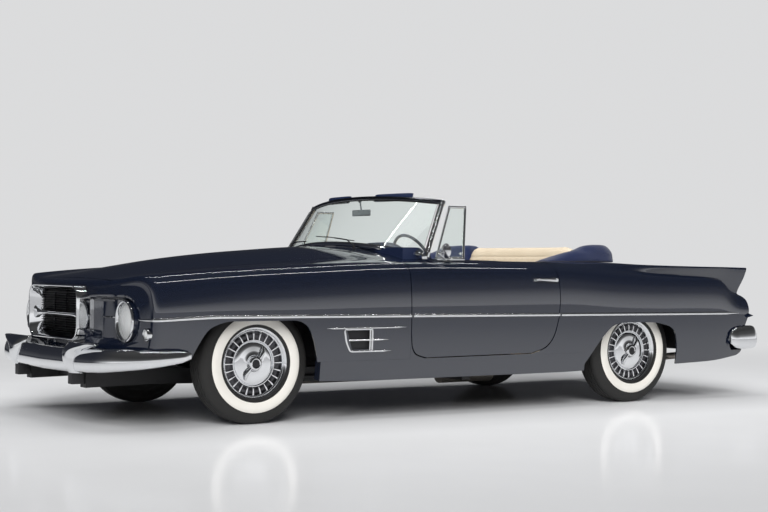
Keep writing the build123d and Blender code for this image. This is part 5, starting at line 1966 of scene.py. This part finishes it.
def build_seats():
    """Both seats as soft pads with sewn channels."""
    cushion = inflated(pillow(-688, 688, 1494, 1972, 446, 566, 60), 13, 4.0, 14)
    cushion = subdivided(rested(cushion, 2, 441))
    pleated(cushion, 560, 1530, 1950, 1)
    seam(cushion, 560, 0)
    seam(cushion, 548, 2, 3.5, 6)
    back = inflated(padded_back(690, FRONT_BACK, 90), 13, 4.0, 12)
    back = subdivided(rested(back, 2, 441))
    pleated(back, 560, 600, 822, 2, 6.0)
    seam(back, 560, 0)
    seam(back, 826, 2, 4.0, 6)
    upholstered("front", cushion, back, 1984.5)
    cushion = inflated(pillow(-612, 612, 2284, 2548, 432, 568, 55), 13, 4.0, 13)
    cushion = subdivided(rested(cushion, 2, 427))
    pleated(cushion, 500, 2310, 2530, 1)
    seam(cushion, 500, 0)
    back = inflated(padded_back(612, REAR_BACK, 110), 13, 4.0, 12)
    back = subdivided(rested(back, 2, 427))
    pleated(back, 500, 620, 985, 2, 6.0)
    seam(back, 500, 0, 3.0)
    seam(back, 990, 2, 4.0, 6)
    upholstered("rear", cushion, back, 2560)


COVER_TOP = Curve([2190, 2290, 2390, 2480, 2560, 2712, 2760], [966, 980, 1003, 1036, 1062, 1074, 1073])
COVER_FOOT = 954.5
COVER_LIMIT = 1084


def hood_cover():
    """The folded hood's soft cover: two arms and the part across the tail, in one horseshoe."""
    pairs = [((692, y), (846, y)) for y in range(2196, 2640, 37)]
    pairs += [
        ((692, 2660), (847, 2680)), ((691, 2690), (845, 2722)), ((688, 2706), (835, 2758)),
        ((676, 2708), (808, 2786)), ((655, 2708), (765, 2796)), ((628, 2708), (712, 2798)),
    ]
    pairs += [((x, 2708), (x, 2798)) for x in range(655, -1, -65)][1:]
    rows = []
    for inner, outer in pairs + [((-a[0], a[1]), (-b[0], b[1])) for a, b in reversed(pairs[:-1])]:
        middle_y = (inner[1] + outer[1]) / 2
        top = COVER_TOP(middle_y)
        across = passed(middle_y, 2640, 2740)
        inward = passed(690 - abs(inner[0] + outer[0]) / 2, 0, 160)
        top -= user_size("cover_dip") * across * inward * inward * (3 - 2 * inward)
        row = []
        for k in range(15):
            t = k / 14
            lean = t ** (1.0 + 0.45 * (1 - across) - 0.25 * across)
            crown = max(1 - abs(2 * lean - 1) ** (3.4 - 1.2 * across), 0.0) ** 0.6
            x = inner[0] + (outer[0] - inner[0]) * t
            y = inner[1] + (outer[1] - inner[1]) * t
            row.append((x, y, 956 + (top - 956) * crown))
        rows.append(row)
    loops = []
    for row in rows:
        (x0, y0, _), (x1, y1, _) = row[0], row[-1]
        base = [(x1, y1, COVER_FOOT), ((x0 + x1) / 2, (y0 + y1) / 2, COVER_FOOT), (x0, y0, COVER_FOOT)]
        loops.append(row + base)
    return pad_form(loops)


def build_cover():
    """The folded hood under its soft cover, and the trims beside the rear seat."""
    cover = inflated(hood_cover(), 11, 2.5, 14, 0.10)
    for vert in cover.verts:
        spot = vert.co / MM
        along = noise.noise(Vector((spot.x * 0.012, spot.y * 0.004 + spot.z * 0.010, spot.z * 0.02)))
        lift = passed(spot.z, 965, 1005)
        vert.co += vert.normal * along * 9 * lift * MM
    cover = subdivided(rested(cover, 2, 953.6))
    for vert in cover.verts:
        vert.co.z = min(vert.co.z, COVER_LIMIT * MM)
    piece = made("hood_cover", cover, "root", "navy_cloth", ["folded_top_cover"], 80.0)

    parts = []
    for side in (1, -1):
        wall = block(side * 838, side * 849.5, 2184, 2440, 427, 952.6, 5)
        shelf = block(side * 691, side * 850, 2184, 2699, 941.4, 952.6, 4)
        rail = tube(metres([(side * 836, 2190, 700), (side * 836, 2430, 700)]), 6, 10)
        parts += [wall, shelf, rail]
    panels = joined(parts)
    made("quarter_panels", panels, "root", "cream_leather", ["quarter_trims"], 40.0)


DASH_FORM = [
    (1062, 762), (1180, 776), (1262, 788), (1284, 800), (1294, 826), (1295, 862), (1290, 905), (1280, 948),
    (1262, 978), (1236, 1000), (1212, 1020), (1190, 1034), (1160, 1037), (1062, 1037),
]
HUMP = (380, 190, 34)


def dial(x, y, z, r):
    """One instrument: bright ring, pale face, marks and needle, facing the driver."""
    centre = at(x, y, z)
    ring = spun([(0, r), (7, r + 1), (9, r - 2), (8, r - 5), (0, r - 6), (0, r)], centre, "y", 40)
    face = spun([(-2, 0), (-2, r - 2), (2, r - 2), (2.5, 0)], centre, "y", 40)
    mark = moved(cube((0.0012, 0.001, r * 0.16 * MM)), (0, 0.003, (r - 11) * MM))
    marks = moved(repeated(mark, 24, "Y"), centre)
    needle = block(x - 1.2, x + 1.2, y + 3.5, y + 5, z - r * 0.15, z + r * 0.66)
    return [tinted(ring, 1), tinted(face, 2), tinted(marks, 3), tinted(needle, 3)]


def build_dashboard():
    """The dashboard with its hood over the dials, its knobs and the steering column."""
    rows = []
    for k in range(81):
        x = -798 + 1596 * k / 80
        rise = math.exp(-(((x - HUMP[0]) / HUMP[1]) ** 4))
        row = []
        for y, z in smooth_path(DASH_FORM, 3):
            share = passed(z, 930, 1035) * passed(y, 1062, 1132)
            row.append(at(x, y + 20 * rise * share, z + HUMP[2] * rise * share))
        rows.append(row)
    parts = [tinted(lofted(rows), 0)]
    for x, z, r in ((262, 905, 52), (380, 912, 62), (498, 905, 52)):
        parts += dial(x, 1291, z, r)
    parts.append(tinted(block(-70, 130, 1290, 1297, 842, 930, 3), 3))
    for k in range(7):
        parts.append(tinted(block(-58, 118, 1296, 1299, 852 + 11 * k, 855 + 11 * k, 0.8), 1))
    rail = metres([(-780, 1296, 838), (-100, 1299, 838), (600, 1299, 838), (780, 1296, 838)])
    parts.append(tinted(flat_tube(rail, 5, 4, BACK, 10), 1))
    for x in (-40, 100, 190, 560, 620):
        knob = [(-4, 0), (-4, 5), (10, 5), (11, 12), (18, 13), (21, 11), (22, 0)]
        parts.append(tinted(spun(knob, at(x, 1292, 812), "y", 24), 1))
    lid = [(-640, 1296, 850), (-180, 1298, 850), (-180, 1290, 945), (-640, 1288, 945)]
    for a, b in zip(lid, lid[1:] + lid[:1]):
        parts.append(tinted(tube(metres([a, b]), 2.5, 8), 1))
    column = metres([(380, 1425, 925.5), (380, 1300, 867.2), (380, 1000, 727.4), (380, 733, 602.9)])
    parts.append(tinted(tube(column, [27, 25, 22, 22], 28), 0))
    collar = tube(metres([(380, 1428, 927), (380, 1404, 915.7)]), [31, 33], 32)
    parts.append(tinted(collar, 1))
    lever = metres([(404, 1392, 912), (470, 1398, 926), (545, 1402, 938)])
    parts.append(tinted(tube(lever, [4, 4, 6], 12), 1))
    lever = metres([(356, 1392, 905), (280, 1400, 915), (205, 1404, 930), (188, 1404, 933)])
    parts.append(tinted(tube(lever, [5, 5, 5, 10], 12), 1))
    paints = ["navy_hide", "chrome", "dial", "satin_black"]
    made("dashboard_dressed", joined(parts), "root", paints, ["dashboard"], 45.0)


RIM_R = 205
HORN_R = 128


def spoke_way(degrees):
    """The way from the steering wheel's middle at an angle."""
    turn = math.radians(degrees)
    return Vector((math.cos(turn), 0, math.sin(turn)))


def build_steering_wheel():
    """The steering wheel with its three spokes, hub and bright horn ring."""
    rows = []
    for k in range(72):
        turn = math.tau * k / 72
        p = Vector((RIM_R * math.cos(turn), 0, RIM_R * math.sin(turn))) * MM
        out = p.normalized()
        grip = 0.6 * math.cos(math.tau * k / 4)
        row = []
        for s in range(16):
            angle = math.tau * s / 16
            row.append(p + (out * math.cos(angle) * 10.0 + BACK * math.sin(angle) * (10 + grip)) * MM)
        rows.append(row)
    parts = [tinted(closed_tube(rows), 0)]
    for angle in (0, 180, 270):
        way = spoke_way(angle)
        spots = []
        for r, depth in ((20, 14), (70, 12), (130, 6), (190, 1), (203, 0)):
            spots.append(way * r * MM + Vector((0, -depth * MM, 0)))
        parts.append(tinted(flat_tube(spots, [17, 13, 10, 10, 12], [7, 6, 5.5, 6, 8], BACK, 14), 0))
    hub = [(-34, 0), (-34, 30), (-10, 36), (4, 35), (10, 30), (10, 0)]
    parts.append(tinted(spun(hub, (0, 0, 0), "y", 40), 0))
    cap = [(8, 0), (8, 27), (14, 26), (19, 18), (21, 8), (21.5, 0)]
    parts.append(tinted(spun(cap, (0, 0, 0), "y", 40), 1))
    ring = []
    for t in range(175, 366, 10):
        turn = math.radians(t)
        flat = Vector((HORN_R * math.cos(turn), 0.006, HORN_R * math.sin(turn)))
        ring.append(Vector((flat.x * MM, flat.y, flat.z * MM)))
    parts.append(tinted(tube(ring, 4, 12), 1))
    whole = turned(joined(parts), Matrix.Rotation(math.radians(25), 3, "X"))
    moved(whole, at(380, 1441, 933))
    paints = ["wheel_moulding", "chrome"]
    made("steering_wheel_dressed", whole, "steering_wheel", paints, ["steering_wheel"], 50.0)


CARD_SPLIT = 760


def door_card(side):
    """The trim on a door's inner face: cream above, navy below, with its armrest, handle and winder."""
    face = 799
    edge = [
        (DOOR_FRONT + 190, 925), (DOOR_FRONT + 190, DOOR_LOW + 60), (DOOR_REAR - 240, DOOR_LOW + 70),
        (DOOR_REAR - 110, DOOR_LOW + 200), (DOOR_REAR - 90, 880), (DOOR_REAR - 120, 925),
    ]
    outline = smooth_corner(edge, 60, 6)
    rows = []
    middle = Vector([sum(column) / len(outline) for column in zip(*outline)])
    for inset, depth in ((0, 0), (0, 3), (3, 6), (9, 8), (30, 9)):
        row = []
        for y, z in outline:
            way = Vector((y, z)) - middle
            shrunk = middle + way * (1 - inset / way.length)
            row.append(at(side * (face - depth), shrunk.x, shrunk.y))
        rows.append(row)
    card = lofted(rows)
    for height in (DOOR_LOW + 190, CARD_SPLIT):
        bmesh.ops.bisect_plane(
            card, geom=everything(card), plane_co=at(0, 0, height), plane_no=(0, 0, 1), dist=1e-6
        )
    for part in card.faces:
        part.material_index = 0 if part.calc_center_median().z / MM > CARD_SPLIT else 1
    parts = [card]
    rest = metres([
        (side * 783, 1560, 700), (side * 776, 1640, 704), (side * 776, 1860, 704), (side * 783, 1940, 700),
    ])
    parts.append(tinted(flat_tube(rest, [16, 22, 22, 16], [14, 17, 17, 14], UP, 16), 0))
    strip = metres([(side * 790, DOOR_FRONT + 200, CARD_SPLIT), (side * 790, DOOR_REAR - 100, CARD_SPLIT)])
    parts.append(tinted(flat_tube(strip, 5, 3, Vector((side, 0, 0)), 10), 2))
    for y, z in ((1420, 640), (1480, 800)):
        parts.append(tinted(spun([(-6, 0), (-6, 12), (6, 12), (8, 0)], at(side * 786, y, z), "x", 24), 2))
        arm = metres([(side * 781, y, z), (side * 779, y + 50, z + 8), (side * 779, y + 92, z + 6)])
        parts.append(tinted(flat_tube(arm, [6, 5, 8], 4, Vector((side, 0, 0)), 10), 2))
    return joined(parts)


def build_trim():
    """The door trims."""
    paints = ["cream_leather", "navy_hide", "chrome"]
    for side, name in ((1, "left"), (-1, "right")):
        made(f"door_card_{name}", door_card(side), f"door_{name}", paints)


# Underside


UNDER_PAINT = {
    "floor_pan": "satin_black", "firewall": "satin_black", "wheelhouses": "satin_black",
    "chassis_frame": "satin_black", "front_suspension": "satin_black", "fuel_tank": "satin_black",
    "knuckle_left": "cast_iron", "knuckle_right": "cast_iron", "engine": "cast_iron",
    "transmission": "cast_iron", "rear_axle": "cast_iron", "exhausts": "exhaust_steel",
    "radiator": "satin_black", "door_posts": "satin_black",
}


def build_underside():
    """Finishes for the frame, the running gear and the floor, which keep their shapes, and the carpet."""
    for node, paint in UNDER_PAINT.items():
        paint_node(node, paint)
    mats = []
    for side in (1, -1):
        mats.append(block(side * 140, side * 776, 866, 1478, 306.4, 315, 3))
        mats.append(block(side * 140, side * 776, 1990, 2180, 306.4, 315, 3))
    made("carpets", joined(mats), "root", "carpet")


# Stage


FAR_SIDE = (-0.98, -0.12, 0.0)
SKY = [(0.0, 0.95), (0.05, 0.72), (0.12, 0.20), (0.22, 0.07), (0.42, 0.04), (1.0, 0.06)]
PALE = shade(0.71, 0.713, 0.72)
KEY_WAY = (-0.72, 0.46, -0.51)
# Columns: the lamp's name, its place, its width and length, its power
PANELS = [
    ("roof_panel", (0.0, 0.0, 6.6), (6.0, 8.0), 330),
    ("left_roof_tube", (2.4, 0.3, 5.6), (0.05, 8.0), 40),
    ("right_roof_tube", (-2.4, 0.3, 5.6), (0.05, 8.0), 40),
]
LENS_LENGTH = 70.56
EYE = (8.515, -5.7725)
EYE_TURNS = (56.48, -0.3, 0.41)


def build_floor():
    """A pale glossy floor, as bright as the surround where it is far away, with a painted dark reflection
    past the car's right side.
    """
    bm = bmesh.new()
    bmesh.ops.create_grid(bm, x_segments=1, y_segments=1, size=60.0)
    floor = linked("studio_floor", bm)
    f = Finish("pale floor")
    f.set(
        Base_Color=f.tint(f.pattern("noise", 2, 3), shade(0.80, 0.805, 0.815), shade(0.84, 0.845, 0.855)),
        Roughness=0.9,
        Specular_IOR_Level=0.0,
    )
    gloss = f.node("ShaderNodeBsdfGlossy", {}, {"Color": shade(0.9, 0.9, 0.92), "Roughness": 0.13})
    near = f.mixed(0.24, Wire(f, f.shader.outputs[0]), gloss)
    # Painted dark reflection: glossy rays see the floor more than 4.5 m off the car's right side as a dark
    # glow.
    beyond = f.passed(f.node("ShaderNodeSeparateXYZ", {}, {0: f.place()}, "X") * -1.0, 4.5, 10.0)
    painted_dark_reflection = f.node("ShaderNodeEmission", {}, {"Color": shade(0.03, 0.032, 0.04), "Strength": 1.0})
    near = f.mixed(f.ray("Glossy") * beyond, near, painted_dark_reflection)
    distance = f.node("ShaderNodeVectorMath", {"operation": "LENGTH"}, {0: f.place()}, "Value")
    share = (f.ray("Camera") + f.ray("Transmission")) * f.passed(distance, 3.0, 9.0)
    pale = f.node("ShaderNodeEmission", {}, {"Color": PALE, "Strength": 1.0})
    f.feed(f.out.inputs[0], f.mixed(share, near, pale))
    floor.data.materials.append(f.material)


def build_surround(brightness):
    """A backdrop that is pale to the camera, and dark above its horizon in reflections."""
    studio = bpy.data.worlds.new("studio")
    bpy.context.scene.world = studio
    studio.use_nodes = True
    world = Nodes(studio.node_tree)
    way = world.node("ShaderNodeTexCoord", {}, {}, "Generated")
    stops = [(place, shade(level, level * 1.005, level * 1.02)) for place, level in SKY]
    height = world.node("ShaderNodeSeparateXYZ", {}, {0: way}, "Z")
    sky = world.node("ShaderNodeValToRGB", {"stops": stops}, {0: height})
    away = world.node("ShaderNodeVectorMath", {"operation": "DOT_PRODUCT"}, {0: way, 1: FAR_SIDE}, "Value")
    tone = world.tint(world.passed(away, 0.10, 0.80, 0.95), sky, shade(0.02, 0.022, 0.03))
    back = world.tree.nodes["Background"]
    world.feed(back.inputs[0], tone)
    back.inputs[1].default_value = brightness
    pale = world.node("ShaderNodeBackground", {}, {0: PALE})
    seen = world.ray("Camera").most(world.ray("Transmission"))
    surround = world.mixed(seen, Wire(world, back.outputs[0]), pale)
    world.feed(world.tree.nodes["World Output"].inputs[0], surround)


def build_lights():
    """A soft key from the car's left front, a panel and two thin tubes over the roof."""
    key = bpy.data.lights.new("soft_key", "SUN")
    key.energy = 3.2
    key.angle = math.radians(35)
    light = in_scene("soft_key", key)
    light.rotation_euler = Vector(KEY_WAY).to_track_quat("-Z", "Y").to_euler()
    light.visible_glossy = False
    for name, place, (wide, deep), power in PANELS:
        lamp = bpy.data.lights.new(name, "AREA")
        lamp.shape = "RECTANGLE"
        lamp.size = wide
        lamp.size_y = deep
        lamp.energy = power
        light = in_scene(name, lamp)
        light.location = place
        light.visible_glossy = wide < 1
        light.rotation_euler = (0, math.atan2(place[0], place[2]), 0)


def build_camera(height):
    """The camera at the photograph's place, with the photograph's lens."""
    camera = bpy.data.cameras.new("photo_view")
    camera.lens = LENS_LENGTH
    camera.sensor_width = 36.0
    camera.clip_end = 200.0
    eye = in_scene("photo_view", camera)
    around, up, roll = [math.radians(turn) for turn in EYE_TURNS]
    behind = Vector((math.sin(around) * math.cos(up), -math.cos(around) * math.cos(up), math.sin(up)))
    right = (-behind).cross(UP).normalized()
    over = right.cross(-behind)
    turned_right = right * math.cos(roll) + over * math.sin(roll)
    turned_over = over * math.cos(roll) - right * math.sin(roll)
    facing = Matrix((turned_right, turned_over, behind)).transposed().to_4x4()
    eye.matrix_world = Matrix.Translation((*EYE, height)) @ facing
    bpy.context.scene.camera = eye


def build_stage():
    """Floor, backdrop, lights and the camera at the photograph's angle."""
    stage = bpy.context.scene.convertible_stage
    build_floor()
    build_surround(stage.surround)
    build_lights()
    build_camera(stage.camera_height)
    bpy.context.scene.view_settings.view_transform = "Standard"


def length(name, description, default):
    """A length that can be changed, in metres."""
    return bpy.props.FloatProperty(
        name=name, description=description, default=default, min=0.0, precision=4, unit="LENGTH"
    )


def colour(name, description, default):
    """A colour that can be changed."""
    return bpy.props.FloatVectorProperty(
        name=name, description=description, default=default, size=3, min=0.0, max=1.0, subtype="COLOR"
    )


class CarSizes(bpy.types.PropertyGroup):
    """Sizes of the car's trim."""

    pleat_width: length("Channel width", "Width of the sewn channels of the seats", 0.066)
    cover_dip: length("Cover dip", "How far the hood's cover sinks across the tail", 0.034)
    strip_width: length("Strip width", "Height of the strip along the sides", 0.021)
    groove_depth: length("Groove depth", "Depth of the grooves round the tyres", 0.007)


class CarColours(bpy.types.PropertyGroup):
    """The lightest tone of each of the car's colours."""

    paint: colour("Paint", "Lacquer of the body", (0.007, 0.011, 0.025))
    hide: colour("Hide", "Hide of the seats and door trims", (0.76, 0.66, 0.51))
    trim: colour("Trim", "Hide of the dashboard, visors and lower door trims", (0.016, 0.026, 0.068))
    cover: colour("Cover", "Cloth of the folded hood's cover", (0.016, 0.028, 0.088))
    sidewall: colour("Sidewall", "Band on the sides of the tyres", (0.80, 0.78, 0.73))


class StageSizes(bpy.types.PropertyGroup):
    """Sizes of the stage."""

    camera_height: length("Camera height", "Height of the camera above the floor", 0.933)
    surround: bpy.props.FloatProperty(
        name="Surround", description="Brightness of the pale surround", default=1.0, min=0.0
    )


class CONVERTIBLE_OT_stage(bpy.types.Operator):
    """Add the pale floor, the soft lights and the camera"""

    bl_idname = "convertible.stage"
    bl_label = "Stage"

    def execute(self, context):
        build_stage()
        return {"FINISHED"}


class CONVERTIBLE_OT_body(bpy.types.Operator):
    """Add the painted panels"""

    bl_idname = "convertible.body"
    bl_label = "Body panels"

    def execute(self, context):
        build_body()
        return {"FINISHED"}


class CONVERTIBLE_OT_wheels(bpy.types.Operator):
    """Add the tyres and wheels"""

    bl_idname = "convertible.wheels"
    bl_label = "Wheels"

    def execute(self, context):
        build_wheels()
        return {"FINISHED"}


class CONVERTIBLE_OT_front(bpy.types.Operator):
    """Add the grille and the lamps"""

    bl_idname = "convertible.front"
    bl_label = "Grille and lamps"

    def execute(self, context):
        build_front()
        return {"FINISHED"}


class CONVERTIBLE_OT_bumpers(bpy.types.Operator):
    """Add both bumpers"""

    bl_idname = "convertible.bumpers"
    bl_label = "Bumpers"

    def execute(self, context):
        build_bumpers()
        return {"FINISHED"}


class CONVERTIBLE_OT_windscreen(bpy.types.Operator):
    """Add the windscreen and the wipers"""

    bl_idname = "convertible.windscreen"
    bl_label = "Windscreen"

    def execute(self, context):
        build_windscreen()
        return {"FINISHED"}


class CONVERTIBLE_OT_brightwork(bpy.types.Operator):
    """Add the side strips, vents, door chrome, mirrors and visors"""

    bl_idname = "convertible.brightwork"
    bl_label = "Brightwork"

    def execute(self, context):
        build_brightwork()
        build_cabin_mirror()
        build_visors()
        return {"FINISHED"}


class CONVERTIBLE_OT_dashboard(bpy.types.Operator):
    """Add the dashboard and the steering wheel"""

    bl_idname = "convertible.dashboard"
    bl_label = "Dashboard"

    def execute(self, context):
        build_dashboard()
        build_steering_wheel()
        return {"FINISHED"}


class CONVERTIBLE_OT_trim(bpy.types.Operator):
    """Add the door trims"""

    bl_idname = "convertible.trim"
    bl_label = "Door trims"

    def execute(self, context):
        build_trim()
        return {"FINISHED"}


class CONVERTIBLE_OT_underside(bpy.types.Operator):
    """Finish the frame, the running gear and the floor"""

    bl_idname = "convertible.underside"
    bl_label = "Underside"

    def execute(self, context):
        build_underside()
        return {"FINISHED"}


class CONVERTIBLE_OT_seats(bpy.types.Operator):
    """Add the padded seats"""

    bl_idname = "convertible.seats"
    bl_label = "Seats"

    def execute(self, context):
        build_seats()
        return {"FINISHED"}


class CONVERTIBLE_OT_cover(bpy.types.Operator):
    """Add the folded hood's cover"""

    bl_idname = "convertible.cover"
    bl_label = "Hood cover"

    def execute(self, context):
        build_cover()
        return {"FINISHED"}


class CONVERTIBLE_PT_panel(bpy.types.Panel):
    """The car's pieces, in the sidebar"""

    bl_idname = "CONVERTIBLE_PT_panel"
    bl_label = "Convertible"
    bl_space_type = "VIEW_3D"
    bl_region_type = "UI"
    bl_category = "Convertible"

    def draw(self, context):
        for group in GROUPS:
            settings = getattr(context.scene, group)
            for name in settings.__annotations__:
                self.layout.prop(settings, name)
        for step in STEPS:
            self.layout.operator(step.bl_idname)


STEPS = [
    CONVERTIBLE_OT_stage,
    CONVERTIBLE_OT_body,
    CONVERTIBLE_OT_wheels,
    CONVERTIBLE_OT_front,
    CONVERTIBLE_OT_bumpers,
    CONVERTIBLE_OT_windscreen,
    CONVERTIBLE_OT_brightwork,
    CONVERTIBLE_OT_dashboard,
    CONVERTIBLE_OT_trim,
    CONVERTIBLE_OT_underside,
    CONVERTIBLE_OT_seats,
    CONVERTIBLE_OT_cover,
]
GROUPS = {
    "convertible_sizes": CarSizes,
    "convertible_colours": CarColours,
    "convertible_stage": StageSizes,
}
CLASSES = [*GROUPS.values(), *STEPS, CONVERTIBLE_PT_panel]


def register():
    """Make the operators and sizes known."""
    for one in CLASSES:
        bpy.utils.register_class(one)
    for name, group in GROUPS.items():
        setattr(bpy.types.Scene, name, bpy.props.PointerProperty(type=group))


def unregister():
    """Take the operators and sizes away again."""
    for name in GROUPS:
        delattr(bpy.types.Scene, name)
    for one in reversed(CLASSES):
        bpy.utils.unregister_class(one)


def main():
    """Build the whole car."""
    register()
    for step in STEPS:
        group, name = step.bl_idname.split(".")
        getattr(getattr(bpy.ops, group), name)()


if __name__ == "__main__":
    main()
